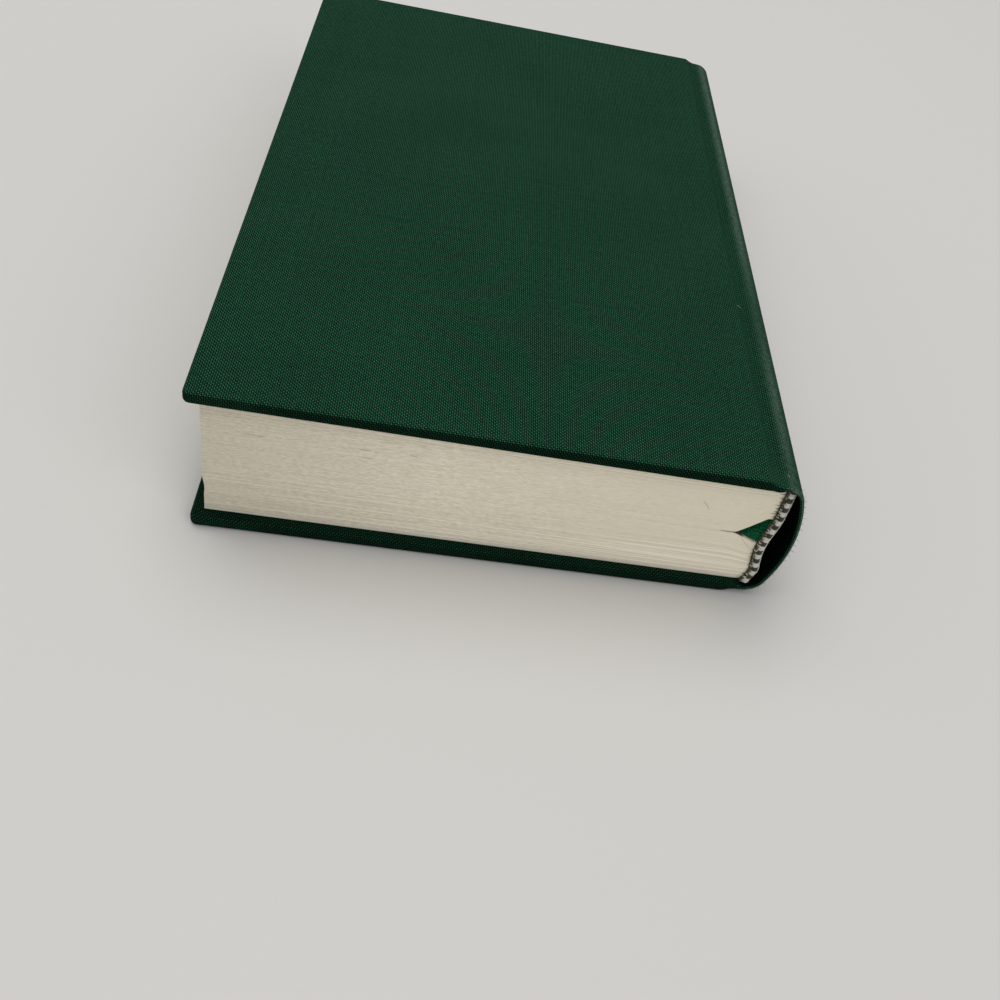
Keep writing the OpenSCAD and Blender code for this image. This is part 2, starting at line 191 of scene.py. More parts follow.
class BookColours(bpy.types.PropertyGroup):
    """Colours of the book's materials."""

    # The weft's brighter tone is partly painted highlight on the thread tops
    weft: colour("Weft", "Brighter threads of the book cloth, which run across", "#3d654f")
    warp: colour("Warp", "Darker threads of the book cloth, which run along", "#0d3f29")
    # Colour of raised fibres, which also tints the painted sheen along the shoulder
    sheen_and_fibres: colour("Rubbed cloth", "Fibres raised where the cloth is rubbed", "#8c9a90")
    cloth_gap: colour("Cloth gaps", "Shade between the threads of the book cloth", "#021a0e")
    paper: colour("Leaf edges", "Trimmed edges of the leaves", "#faf3df")
    paper_line: colour("Leaf lines", "Shade between the leaves", "#ddd4bb")
    endpaper: colour("Endpapers", "Uncoated endpapers", "#e9e3d2")
    greyboard: colour("Greyboard", "Pressed fibre board", "#8a8378")
    card: colour("Card strip", "Manila card strip", "#b9a98a")
    kraft: colour("Lining", "Kraft lining paper", "#9c8462")
    mull: colour("Mull", "Starched gauze", "#d9d4c4")
    silk_light: colour("Light silk", "Light thread of the bands", "#dcd9ce")
    silk_dark: colour("Dark silk", "Dark thread of the bands", "#45483b")
    silk_root: colour("Band roots", "Worn thread along the pages' edge", "#5a573f")
    ribbon: colour("Ribbon", "Satin ribbon", "#00462a")
    painted_glint: colour("Glint", "Highlights along the ribbon's ribs", "#7fc79a")
    lint: colour("Lint", "Lint on the cloth", "#9aafa2")
    hair: colour("Hair", "Loose brown fibre by the ribbon", "#9a6f60")
    # Also paints the shadow line left of the gap's tip
    dirt: colour("Fibres", "Fibres and scratches on the leaves", "#40372a")
    floor: colour("Floor", "Studio floor", "#cdccc8")
    sky: colour("Sky", "Even light from all sides", "#f6f8ff")


class StudioSettings(bpy.types.PropertyGroup):
    """Camera and light of the studio."""

    pitch: FloatProperty(
        name="Pitch", description="Camera below the horizon", default=math.radians(44.99), subtype="ANGLE"
    )
    roll: FloatProperty(
        name="Roll", description="Camera turned about its own axis", default=math.radians(12.51),
        subtype="ANGLE",
    )
    yaw: FloatProperty(
        name="Yaw", description="Camera turned about the vertical", default=math.radians(-7.18),
        subtype="ANGLE",
    )
    place: FloatVectorProperty(
        name="Place", description="Place of the camera", subtype="XYZ", unit="LENGTH",
        default=(-0.01913, -0.24887, 0.17399),
    )
    lens: FloatProperty(name="Lens", description="Focal length in millimetres", default=39.79, min=1)
    sky: FloatProperty(
        name="Sky", description="Strength of the even light from all sides", default=0.52, min=0
    )
    key: FloatProperty(
        name="Key", description="Power of the large lamp in front of the book, above it on the right",
        default=8, min=0, unit="POWER",
    )
    overhead: FloatProperty(
        name="Overhead", description="Power of the large lamp overhead", default=13, min=0, unit="POWER"
    )


def add_node(tree, kind, inputs=(), **settings):
    """Adds a node with its settings and links.

    inputs holds values, sockets or nodes, of which the first output is taken. It is a list in the order of
    the node's sockets, or a dictionary by their names or numbers.
    """
    made = tree.nodes.new(kind)
    for key, value in settings.items():
        setattr(made, key, value)
    for key, value in inputs.items() if isinstance(inputs, dict) else enumerate(inputs):
        if isinstance(value, bpy.types.Node):
            value = value.outputs[0]
        if isinstance(value, bpy.types.NodeSocket):
            tree.links.new(value, made.inputs[key])
        else:
            made.inputs[key].default_value = value
    return made


def chain(tree, kind, value, *steps):
    """Leads a value through nodes of one kind. Each step is an operation and the node's further inputs."""
    for operation, *others in steps:
        value = add_node(tree, kind, [value, *others], operation=operation)
    return value


def new_material(name, viewport, **constants):
    """A material with its node tree and shader. constants are set on the shader's own sockets."""
    material = bpy.data.materials.new(name)
    material.use_nodes = True
    material.diffuse_color = viewport
    tree = material.node_tree
    shader = tree.nodes["Principled BSDF"]
    for key, value in constants.items():
        shader.inputs[key.replace("_", " ")].default_value = value
    return material, tree, shader


def link_surface(tree, shader, base, bump):
    """Links a material's colour and its bump to its shader."""
    tree.links.new(base, shader.inputs["Base Color"])
    tree.links.new(bump.outputs[0], shader.inputs["Normal"])


def paint(mesh, material):
    """Gives a mesh one material in place of those it had."""
    mesh.materials.clear()
    mesh.materials.append(material)


def lay_uvs(mesh, uvs):
    """Lays the weave's map on a mesh, from one place for each of its points."""
    layer = mesh.uv_layers.new(name="weave")
    corners = np.zeros(len(mesh.loops), np.int32)
    mesh.loops.foreach_get("vertex_index", corners)
    layer.data.foreach_set("uv", np.asarray(uvs, np.float32)[corners].ravel())


def set_values(mesh, name, values):
    """Gives each point of a mesh a value that its material reads by name."""
    mesh.attributes.new(name, "FLOAT", "POINT").data.foreach_set("value", np.array(values, np.float32))


def grid_faces(columns, rows, first=0, turned=False):
    """Faces of a grid of points that are numbered column by column. turned ones look the other way."""
    faces = []
    for a in (first + c * rows + r for c in range(columns - 1) for r in range(rows - 1)):
        face = (a, a + 1, a + rows + 1, a + rows)
        faces.append(face[:1] + face[:0:-1] if turned else face)
    return faces


def as_object(name, mesh, material, smooth_below=math.radians(40)):
    """A new object that carries the mesh, shaded smooth below the angle."""
    mesh.shade_smooth()
    mesh.set_sharp_from_angle(angle=smooth_below)
    paint(mesh, material)
    made = bpy.data.objects.new(name, mesh)
    bpy.context.scene.collection.objects.link(made)
    return made


def plain_mesh(made):
    """The mesh of an object with its modifiers or its curves worked out."""
    depsgraph = bpy.context.evaluated_depsgraph_get()
    return bpy.data.meshes.new_from_object(made.evaluated_get(depsgraph), depsgraph=depsgraph)


def settled(made):
    """Applies an object's modifiers, so that a plain mesh is left."""
    mesh = plain_mesh(made)
    made.modifiers.clear()
    made.data = mesh
    return made


def strands(name, paths, radius, material):
    """Thin strands along paths of points in metres, as one mesh. They taper at both ends."""
    tip = 0.35
    curve = bpy.data.curves.new(name, "CURVE")
    curve.dimensions = "3D"
    curve.bevel_depth = radius
    curve.bevel_resolution = 1
    curve.use_fill_caps = True
    for path in paths:
        spline = curve.splines.new("NURBS")
        spline.points.add(len(path) - 1)
        for number, (point, place) in enumerate(zip(spline.points, path)):
            point.co = (*place, 1)
            point.radius = tip if number in (0, len(path) - 1) else 1
        spline.use_endpoint_u = True
        spline.order_u = 3
        spline.resolution_u = 5
    holder = bpy.data.objects.new(name, curve)
    bpy.context.scene.collection.objects.link(holder)
    mesh = plain_mesh(holder)
    bpy.data.objects.remove(holder)
    return as_object(name, mesh, material, math.pi)


def smoothstep(low, high, value):
    """Rises smoothly from 0 at low to 1 at high."""
    share = np.clip((value - low) / (high - low), 0, 1)
    return share * share * (3 - 2 * share)


def hang(points, cover):
    """Points given from a cover's hinge, as x, y and height above the cover's face, in the frame."""
    x, y, h = np.asarray(points, float).T
    if cover == "back_cover":
        return np.stack([HINGE_X + x, y, -h], 1)
    fade = 0.5 * MM
    turn = bpy.context.scene.book_case.splay * np.clip(-x / fade, 0, 1)
    return np.stack(
        [HINGE_X + x * np.cos(turn) + h * np.sin(turn), y, THICK - x * np.sin(turn) + h * np.cos(turn)], 1
    )


def sheet_mesh(name, points, faces, uvs, cover, thickness, side=1, pressed=None):
    """A folded sheet in its cover's place, welded and with a true thickness behind the given points.

    side is 1 where the first face looks away from the pages and -1 where it looks at them. The last
    argument gives the painted shade at each point, and below 0 the painted sheen.
    """
    mesh = bpy.data.meshes.new(name)
    mesh.from_pydata(hang(points, cover).tolist(), [], faces)
    if pressed:
        set_values(mesh, "pressed", pressed)
    lay_uvs(mesh, uvs)
    work = bmesh.new()
    work.from_mesh(mesh)
    bmesh.ops.remove_doubles(work, verts=work.verts, dist=WELD)
    bmesh.ops.dissolve_degenerate(work, edges=work.edges, dist=WELD)
    bmesh.ops.recalc_face_normals(work, faces=work.faces)
    work.faces.ensure_lookup_table()
    if work.faces[0].normal.z * side * (1 if cover == "front_cover" else -1) < 0:
        bmesh.ops.reverse_faces(work, faces=work.faces)
    work.to_mesh(mesh)
    work.free()
    holder = bpy.data.objects.new(name, mesh)
    bpy.context.scene.collection.objects.link(holder)
    wall = holder.modifiers.new("Thickness", "SOLIDIFY")
    wall.thickness = thickness
    wall.offset = -1
    settled(holder)
    mesh = holder.data
    bpy.data.objects.remove(holder)
    return mesh


def bend_at_joint(made, cover):
    """Bakes a piece's place into its mesh and leaves it as it is; it does not bend the piece across the
    joint.
    """
    if cover == "front_cover":
        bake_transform(made)
    else:
        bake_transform(made)


def case_section():
    """Stations across half the case, from the cover's turn-in to the middle of the spine.

    Gives the distance along the cloth, the place from the hinge, the way out, the fold's depth, how far the
    groove lies below a straight line across the joint, and the strength of the painted sheen along the
    shoulder.
    """
    case = bpy.context.scene.book_case
    flat = np.linspace(FORE_X - HINGE_X + case.turn_in, BOARD_END, 22)
    # Two more stations lie just past the board's end
    board_edge = BOARD_END + np.array([0.26, 0.34]) * MM
    groove = np.sort(np.append(np.linspace(BOARD_END, 0, 16)[1:], board_edge))
    shoulder = np.linspace(0, case.shoulder_w, 10)[1:-1]
    dip = -case.groove_drop * (1 - np.cos(np.pi * (groove - BOARD_END) / -BOARD_END)) / 2
    fall = case.groove_drop - case.shoulder_drop
    rise = -case.shoulder_drop - fall * (1 + np.cos(np.pi * shoulder / case.shoulder_w)) / 2
    half_spine = THICK / 2 - case.shoulder_drop
    broad_x = SPINE_X - HINGE_X - case.spine_r
    meet = math.atan2(half_spine - case.shoulder_r, case.shoulder_w - broad_x)
    bend = np.linspace(math.pi / 2, meet, 12)
    broad = np.linspace(meet, 0, 9)[1:]
    x = np.concatenate([
        flat, groove, shoulder, case.shoulder_w + case.shoulder_r * np.cos(bend),
        broad_x + case.spine_r * np.cos(broad),
    ])
    h = np.concatenate([
        flat * 0, dip, rise, -case.shoulder_drop - case.shoulder_r * (1 - np.sin(bend)),
        -THICK / 2 + case.spine_r * np.sin(broad),
    ])
    place = np.stack([x, h], 1)
    run = np.linalg.norm(np.diff(place, axis=0), axis=1)
    along = flat[0] + np.concatenate([[0], np.cumsum(run)])
    tangent = np.gradient(place, axis=0)
    tangent /= np.linalg.norm(tangent, axis=1)[:, None]
    normal = np.stack([-tangent[:, 1], tangent[:, 0]], 1)
    hem = 2 * case.cloth_t + case.strip_t
    on_spine = smoothstep(0, case.shoulder_w, x)
    depth = (COVER_DEPTH + h) * (1 - on_spine) + hem * on_spine
    inwards = normal * on_spine[:, None] + np.array([0, 1]) * (1 - on_spine)[:, None]
    level = -case.shoulder_drop * np.clip((x - BOARD_END) / (case.shoulder_w - BOARD_END), 0, 1)
    filled = np.where(x < case.shoulder_w, level - h, 0)
    # Painted sheen: the cloth is lighter in a band along the shoulder
    most_sheen, sheen_x, sheen_w = 0.15, 2.9 * MM, 1.1 * MM
    sheen_and_fibres = most_sheen * np.exp(-((x - sheen_x) / sheen_w) ** 2)
    return along, place, inwards / np.linalg.norm(inwards, axis=1)[:, None], depth, filled, sheen_and_fibres


def fold_profile(radius, depth, reach):
    """A fold round an edge, from the outer face to the turned-in edge.

    Gives the distance in from the edge, the height and the run along the cloth, which starts where the
    rounding does, and the number of stations before the rounding.
    """
    shares = np.array([1, 0.7, 0.45, 0.25, 0.12, 0.04, 0])
    turn = np.linspace(0, math.pi / 2, 6)[1:]
    side = np.linspace(-radius, radius - depth, 4)[1:]
    flat = radius + (reach - radius) * shares
    inset = np.concatenate([
        flat, radius * (1 - np.sin(turn)), side * 0, radius * (1 - np.cos(turn)), flat[::-1][1:]
    ])
    height = np.concatenate([
        flat * 0, radius * (np.cos(turn) - 1), side, radius - depth - radius * np.sin(turn),
        flat[1:] * 0 - depth,
    ])
    steps = np.hypot(np.diff(inset), np.diff(height))
    run = np.concatenate([[0], np.cumsum(steps)])
    return inset, height, run - run[len(shares) - 1], len(shares)


def case_cloth(cover):
    """Half of the case's cloth: the cover's face, its folded edges, the joint and half the spine."""
    case = bpy.context.scene.book_case
    along, place, normal, depth, filled, sheen_and_fibres = case_section()
    columns = len(along)
    left = FORE_X - HINGE_X
    rows = np.linspace(HEAD_Y + case.turn_in, TAIL_Y - case.turn_in, 40)
    points, uvs, pressed = [], [], []

    def sheen_at(y, c):
        """Strength of the painted sheen: least a third of the way down the shoulder, little at the head."""
        if c is None:
            return 0
        down = y - HEAD_Y
        kept_down = 0.65 * math.exp(-((down - 57 * MM) / (22 * MM)) ** 2)
        kept_head = 0.45 * math.exp(-(down / (18 * MM)) ** 2)
        return sheen_and_fibres[c] * (1 - kept_down - kept_head)

    for c in range(columns):
        for y in rows:
            points.append((place[c, 0], y, place[c, 1]))
            uvs.append((along[c], y))
            pressed.append(-sheen_at(y, c))
    faces = grid_faces(columns, len(rows), turned=True)

    # The folded edge runs round the cover as stations: edge point, way in, target on the turn-in's line
    stations = []
    near = [case.turn_in * share for share in (0.8, 0.6, 0.42, 0.27, 0.16)]
    arc = np.linspace(0, math.pi / 2, 9)
    for end, edge_y in ((1, HEAD_Y), (-1, TAIL_Y)):
        inner = (left + case.turn_in, edge_y + end * case.turn_in)
        side = [
            ((place[c, 0], edge_y), (0, end), (place[c, 0], inner[1]), "end", c)
            for c in range(columns - 1, -1, -1)
        ]
        side += [((left + x, edge_y), (0, end), inner, "end", None) for x in near]
        for angle in arc:
            way = (math.sin(angle), end * math.cos(angle))
            centre = (left + case.corner_r, edge_y + end * case.corner_r)
            edge = (centre[0] - case.corner_r * way[0], centre[1] - case.corner_r * way[1])
            side.append((edge, way, inner, "end" if angle < math.pi / 4 else "fore", None))
        side += [((left, edge_y + end * y), (1, 0), inner, "fore", None) for y in near[::-1]]
        stations.append(side)
    middle = [((left, y), (1, 0), (left + case.turn_in, y), "fore", None) for y in rows]
    ring = stations[0] + middle + stations[1][::-1]

    def fold_shade_and_sheen(turn, x, worn):
        """Painted shade and sheen on a fold, whose turn goes from 0 at the outer face to 1; worn carries
        the painted sheen along the shoulder.
        """
        on_spine = smoothstep(BOARD_END / 2, 2 * case.shoulder_w, x)
        # Painted shade on the folded sides of the boards and on the turn-ins under the pages
        folded = np.interp(turn, (0.32, 0.4, 0.6, 0.68, 1), (0, 1, 1, 0.85, 0.85))
        # On the spine a lighter rim at its ends is a painted highlight, and values past 1 paint the hollow
        # inside the spine near black
        rim = np.interp(turn, (0.28, 0.36, 0.55, 0.66, 0.72, 1), (0, -0.16, -0.12, 0.2, 1.35, 1.35))
        return worn + folded * (1 - on_spine) + rim * on_spine

    # The rounding is never more than this share of the fold's depth
    most_round = 0.47
    size = len(fold_profile(case.edge_r, COVER_DEPTH, case.turn_in)[0])
    first = len(points)
    for edge, way, inner, kind, c in ring:
        deep = COVER_DEPTH if c is None else depth[c]
        radius = min(case.edge_r, most_round * deep)
        inset, height, run, flats = fold_profile(radius, deep, case.turn_in)
        end = 1 if inner[1] < 0 else -1
        edge_y = HEAD_Y if inner[1] < 0 else TAIL_Y
        base = np.array(edge) + np.array(way) * radius
        bottom = run[-flats]
        for j, q in enumerate(inset):
            if q <= radius:
                spot = np.array(edge) + np.array(way) * q
            else:
                spot = base + (np.array(inner) - base) * (q - radius) / (case.turn_in - radius)
            if c is None:
                points.append((spot[0], spot[1], height[j]))
                u, v = spot
            else:
                shallow = 1 - smoothstep(1 * MM, case.groove_run, abs(spot[1] - edge_y))
                lift = 0.75 * filled[c] * shallow * (1 + height[j] / deep)
                points.append((
                    place[c, 0] + normal[c, 0] * height[j], spot[1],
                    place[c, 1] + normal[c, 1] * height[j] + lift,
                ))
                u, v = along[c], spot[1]
            # Past the start of the rounding the weave goes on by the run, and on the turn-in by the way in
            below, inner_run = min(run[j], bottom), run[j] > bottom
            if run[j] > 0 and kind == "end":
                v = edge_y + end * (radius - below - max(0, abs(spot[1] - edge_y) - radius) * inner_run)
            elif run[j] > 0:
                u = left + radius - below - max(0, spot[0] - left - radius) * inner_run
            uvs.append((u, v))
            pressed.append(fold_shade_and_sheen(j / (size - 1), 0 if c is None else place[c, 0], -sheen_at(spot[1], c)))
    faces += grid_faces(len(ring), size, first)
    # A little thinner than the cloth in the solid, so that it stays clear of what it covers
    name, thickness = f"{SIDES[cover]}_case_cloth", 0.96 * case.cloth_t
    return sheet_mesh(name, points, faces, uvs, cover, thickness, pressed=pressed)


def woven_cloth():
    """Starched book cloth in plain weave: matt dyed cotton, dark between the threads."""
    colours = bpy.context.scene.book_colours
    pitch = bpy.context.scene.book_case.thread
    material, tree, shader = new_material(
        "Starched book cloth", colours.weft, Roughness=0.7, Specular_IOR_Level=0.015
    )
    weave = add_node(tree, "ShaderNodeUVMap", uv_map="weave")
    # The threads wander by up to a quarter of their spacing
    drift = add_node(tree, "ShaderNodeTexNoise", {"Vector": weave, "Scale": 260.0, "Detail": 2.0})
    drift = add_node(
        tree, "ShaderNodeVectorMath", [drift.outputs["Color"], (0.5, 0.5, 0.5)], operation="SUBTRACT"
    )
    drift = add_node(tree, "ShaderNodeVectorMath", {0: drift, "Scale": 0.5 * pitch}, operation="SCALE")
    weave = add_node(tree, "ShaderNodeVectorMath", [weave, drift], operation="ADD")
    threads = add_node(tree, "ShaderNodeVectorMath", {0: weave, "Scale": 1 / pitch}, operation="SCALE")
    u, v = add_node(tree, "ShaderNodeSeparateXYZ", [threads]).outputs[:2]
    # Each thread is a rounded ridge that dips under every second thread of the other direction
    heights, shades = [], []
    for across, along, shift, seed in ((u, v, -0.5, 3.1), (v, u, 0.5, 57.3)):
        index = add_node(tree, "ShaderNodeMath", [across], operation="FLOOR")
        body = chain(
            tree, "ShaderNodeMath", across, ("FRACT",), ("MULTIPLY", math.pi), ("SINE",), ("POWER", 0.6)
        )
        wave = chain(
            tree, "ShaderNodeMath", along, ("ADD", index), ("MULTIPLY_ADD", math.pi, math.pi * shift),
            ("COSINE",), ("MULTIPLY_ADD", 0.4, 0.6),
        )
        heights.append(add_node(tree, "ShaderNodeMath", [body, wave], operation="MULTIPLY"))
        thread = add_node(tree, "ShaderNodeMath", [index, seed], operation="ADD")
        shades.append(add_node(tree, "ShaderNodeTexWhiteNoise", {"W": thread}, noise_dimensions="1D"))
    height = add_node(tree, "ShaderNodeMath", heights, operation="MAXIMUM")
    over = add_node(tree, "ShaderNodeMath", heights, operation="GREATER_THAN")
    shade = add_node(
        tree, "ShaderNodeMix", {FACTOR: over, FLOAT_A: shades[1], FLOAT_B: shades[0]}, data_type="FLOAT"
    )
    thread = add_node(
        tree, "ShaderNodeMix", {FACTOR: over, COLOUR_A: colours.weft, COLOUR_B: colours.warp},
        data_type="RGBA",
    ).outputs[MIXED_COLOUR]
    body = add_node(tree, "ShaderNodeMapRange", [height, 0.55, 0.96, 0.0, 1.0])
    base = add_node(
        tree, "ShaderNodeMix", {FACTOR: body, COLOUR_A: colours.cloth_gap, COLOUR_B: thread},
        data_type="RGBA",
    ).outputs[MIXED_COLOUR]
    # Shade from thread to thread, along a thread and in broad clouds
    slub = add_node(
        tree, "ShaderNodeTexNoise", {"Vector": weave, "Scale": 900.0, "Detail": 3.0, "Roughness": 0.6}
    )
    cloud = add_node(tree, "ShaderNodeTexNoise", {"Vector": weave, "Scale": 35.0, "Detail": 3.0})
    bright = add_node(tree, "ShaderNodeMapRange", [shade, 0.0, 1.0, 0.92, 1.08])
    for noise, low, high in ((slub, 0.75, 1.3), (cloud, 0.92, 1.08)):
        part = add_node(tree, "ShaderNodeMapRange", [noise, 0.27, 0.73, low, high])
        bright = add_node(tree, "ShaderNodeMath", [bright, part], operation="MULTIPLY")
    # Painted highlights: the yarn's twist joins the highlights of neighbouring threads into diagonals
    painted_diagonals = 1.0
    for operation, first, second, share in (
        ("ADD", u, v, 0.3), ("SUBTRACT", u, v, 0.5), ("ADD", u, u, -0.3)
    ):
        painted_diagonals = chain(
            tree, "ShaderNodeMath", first, (operation, second), ("MULTIPLY", math.pi), ("COSINE",),
            ("MULTIPLY_ADD", share, painted_diagonals),
        )
    bright = add_node(tree, "ShaderNodeMath", [bright, painted_diagonals], operation="MULTIPLY")
    # Above 0 painted shade darkens the cloth; below 0 painted sheen lightens it, speckled with the light
    # colour of raised fibres
    pressed = add_node(tree, "ShaderNodeAttribute", attribute_name="pressed").outputs["Fac"]
    darker = add_node(tree, "ShaderNodeMath", [pressed, -0.65, 1.0], operation="MULTIPLY_ADD")
    bright = add_node(tree, "ShaderNodeMath", [bright, darker], operation="MULTIPLY")
    base = add_node(tree, "ShaderNodeVectorMath", {0: base, "Scale": bright}, operation="SCALE")
    worn = add_node(tree, "ShaderNodeMapRange", [slub, 0.3, 0.7, -0.4, -1.6])
    worn = add_node(tree, "ShaderNodeMath", [worn, pressed], operation="MULTIPLY", use_clamp=True)
    base = add_node(
        tree, "ShaderNodeMix", {FACTOR: worn, COLOUR_A: base, COLOUR_B: colours.sheen_and_fibres}, data_type="RGBA"
    )
    bump = add_node(tree, "ShaderNodeBump", {"Height": height, "Distance": 0.1 * MM})
    link_surface(tree, shader, base.outputs[MIXED_COLOUR], bump)
    return material


def leaf_edges():
    """Trimmed book paper: matt cream in thin lines along the leaves, with painted shade and some dust in
    the gap's corner, painted shade towards the fore-edge and painted highlights on single leaves.
    """
    colours = bpy.context.scene.book_colours
    material, tree, shader = new_material(
        "Trimmed book paper", colours.paper, Roughness=0.85, Specular_IOR_Level=0.25
    )
    place = add_node(tree, "ShaderNodeTexCoord")
    x, y, _ = add_node(tree, "ShaderNodeSeparateXYZ", [place.outputs["Object"]]).outputs
    leaf = add_node(tree, "ShaderNodeAttribute", attribute_name="leaf").outputs["Fac"]
    # Noise drawn out along the leaves as fine grain, dashes and long lines fades towards the spine
    total, lines = 0.0, []
    for run, density, seed, share in (
        (900.0, 0.6, 0.0, 2.0), (120.0, 0.42, 5.0, 0.6), (12.0, 0.36, 11.0, 0.65)
    ):
        along = add_node(tree, "ShaderNodeMath", [x, run, seed], operation="MULTIPLY_ADD")
        across = add_node(tree, "ShaderNodeMath", [y, run], operation="MULTIPLY")
        level = add_node(tree, "ShaderNodeMath", [leaf, density], operation="MULTIPLY")
        spot = add_node(tree, "ShaderNodeCombineXYZ", [along, across, level])
        lines.append(add_node(tree, "ShaderNodeTexNoise", {"Vector": spot, "Scale": 1.0, "Detail": 1.0}))
        even = add_node(tree, "ShaderNodeMath", [lines[-1], 0.5], operation="SUBTRACT")
        total = add_node(tree, "ShaderNodeMath", [even, share, total], operation="MULTIPLY_ADD")
    fade = add_node(tree, "ShaderNodeMapRange", [x, -10 * MM, 35 * MM, 1.0, 0.3])
    line = add_node(tree, "ShaderNodeMath", [total, fade, 0.5], operation="MULTIPLY_ADD")
    # Painted highlights on single leaves in the lower third, and just below the front board a painted
    # highlight on one leaf with a painted shadow line below it
    proud = add_node(tree, "ShaderNodeMapRange", [lines[2], 0.56, 0.62, -0.15, 0.8])
    low = add_node(tree, "ShaderNodeMapRange", [leaf, 70.0, 110.0, 1.0, 0.0])
    line = add_node(tree, "ShaderNodeMath", [proud, low, line], operation="MULTIPLY_ADD")
    for level, share in ((249.0, 0.7), (247.0, -0.7)):
        one = add_node(tree, "ShaderNodeMath", [leaf, level, 0.8], operation="COMPARE")
        line = add_node(tree, "ShaderNodeMath", [one, share, line], operation="MULTIPLY_ADD")
    base = add_node(
        tree, "ShaderNodeMix", {FACTOR: line, COLOUR_A: colours.paper_line, COLOUR_B: colours.paper},
        data_type="RGBA",
    ).outputs[MIXED_COLOUR]
    # Painted shade: the edge is a little darker towards the fore-edge
    painted_shade = add_node(tree, "ShaderNodeMapRange", [x, -62 * MM, -12 * MM, 0.8, 1.0])
    # Painted shade with some dust darkens the gap's inner corner, on its faces inside the head edge only
    at = block_values()
    head = at["head"]
    tip = (FORE_X + at["tip_x"] + 0.45 * MM, head, at["gap_tip_z"])
    dust_and_shade = chain(
        tree, "ShaderNodeVectorMath", place.outputs["Object"], ("SUBTRACT", tip),
        ("MULTIPLY", (0.8, 0.3, 0.8)), ("LENGTH",),
    ).outputs["Value"]
    dust_and_shade = add_node(tree, "ShaderNodeMapRange", [dust_and_shade, 0.7 * MM, 1.3 * MM, -0.92, 0.0])
    inside = add_node(tree, "ShaderNodeMapRange", [y, head + 0.08 * MM, head + 0.25 * MM, 0.0, 1.0])
    dust_and_shade = add_node(tree, "ShaderNodeMath", [dust_and_shade, inside, 1.0], operation="MULTIPLY_ADD")
    painted_shade = add_node(tree, "ShaderNodeMath", [painted_shade, dust_and_shade], operation="MULTIPLY")
    base = add_node(tree, "ShaderNodeVectorMath", {0: base, "Scale": painted_shade}, operation="SCALE")
    bump = add_node(tree, "ShaderNodeBump", {"Height": lines[1], "Distance": 0.01 * MM, "Strength": 0.3})
    link_surface(tree, shader, base.outputs[0], bump)
    return material


def plain_paper(name, tone, grain, depth):
    """Uncoated paper or board: matt, with a faint felt grain. depth is how far its tone varies."""
    material, tree, shader = new_material(name, tone, Roughness=0.88, Specular_IOR_Level=0.25)
    place = add_node(tree, "ShaderNodeTexCoord").outputs["Object"]
    felt = add_node(tree, "ShaderNodeTexNoise", {"Vector": place, "Scale": 1 / grain, "Detail": 4.0})
    cloud = add_node(tree, "ShaderNodeTexNoise", {"Vector": place, "Scale": 22.0, "Detail": 2.0})
    both = add_node(tree, "ShaderNodeMath", [felt, cloud], operation="ADD")
    bright = add_node(tree, "ShaderNodeMapRange", [both, 0.7, 1.3, 1 - depth, 1 + depth])
    base = add_node(tree, "ShaderNodeVectorMath", {0: tone[:3], "Scale": bright}, operation="SCALE")
    bump = add_node(tree, "ShaderNodeBump", {"Height": felt, "Distance": 0.03 * MM, "Strength": 0.5})
    link_surface(tree, shader, base.outputs[0], bump)
    return material


def gauze():
    """Mull: open cotton gauze stiffened with starch, over glued paper."""
    colours = bpy.context.scene.book_colours
    spacing = 0.9 * MM
    material, tree, shader = new_material("Starched mull", colours.mull, Roughness=0.9)
    place = add_node(tree, "ShaderNodeTexCoord").outputs["Object"]
    scaled = add_node(
        tree, "ShaderNodeVectorMath", {0: place, "Scale": math.pi / spacing}, operation="SCALE"
    )
    threads = 0.0
    for axis in add_node(tree, "ShaderNodeSeparateXYZ", [scaled]).outputs:
        threads = chain(
            tree, "ShaderNodeMath", axis, ("SINE",), ("ABSOLUTE",), ("POWER", 4.0), ("MAXIMUM", threads)
        )
    base = add_node(
        tree, "ShaderNodeMix", {FACTOR: threads, COLOUR_A: colours.kraft, COLOUR_B: colours.mull},
        data_type="RGBA",
    )
    bump = add_node(tree, "ShaderNodeBump", {"Height": threads, "Distance": 0.15 * MM})
    link_surface(tree, shader, base.outputs[MIXED_COLOUR], bump)
    return material


def silk(name, tone):
    """Twisted silk or loose fibre: a little shiny, with its uneven surface as a fine bump."""
    material, tree, shader = new_material(name, tone, Roughness=0.55, Specular_IOR_Level=0.2)
    place = add_node(tree, "ShaderNodeTexCoord").outputs["Object"]
    fuzz = add_node(tree, "ShaderNodeTexNoise", {"Vector": place, "Scale": 5200.0, "Detail": 2.0})
    bright = add_node(tree, "ShaderNodeMapRange", [fuzz, 0.3, 0.7, 0.75, 1.15])
    base = add_node(tree, "ShaderNodeVectorMath", {0: tone[:3], "Scale": bright}, operation="SCALE")
    bump = add_node(tree, "ShaderNodeBump", {"Height": fuzz, "Distance": 0.05 * MM, "Strength": 0.8})
    link_surface(tree, shader, base.outputs[0], bump)
    return material


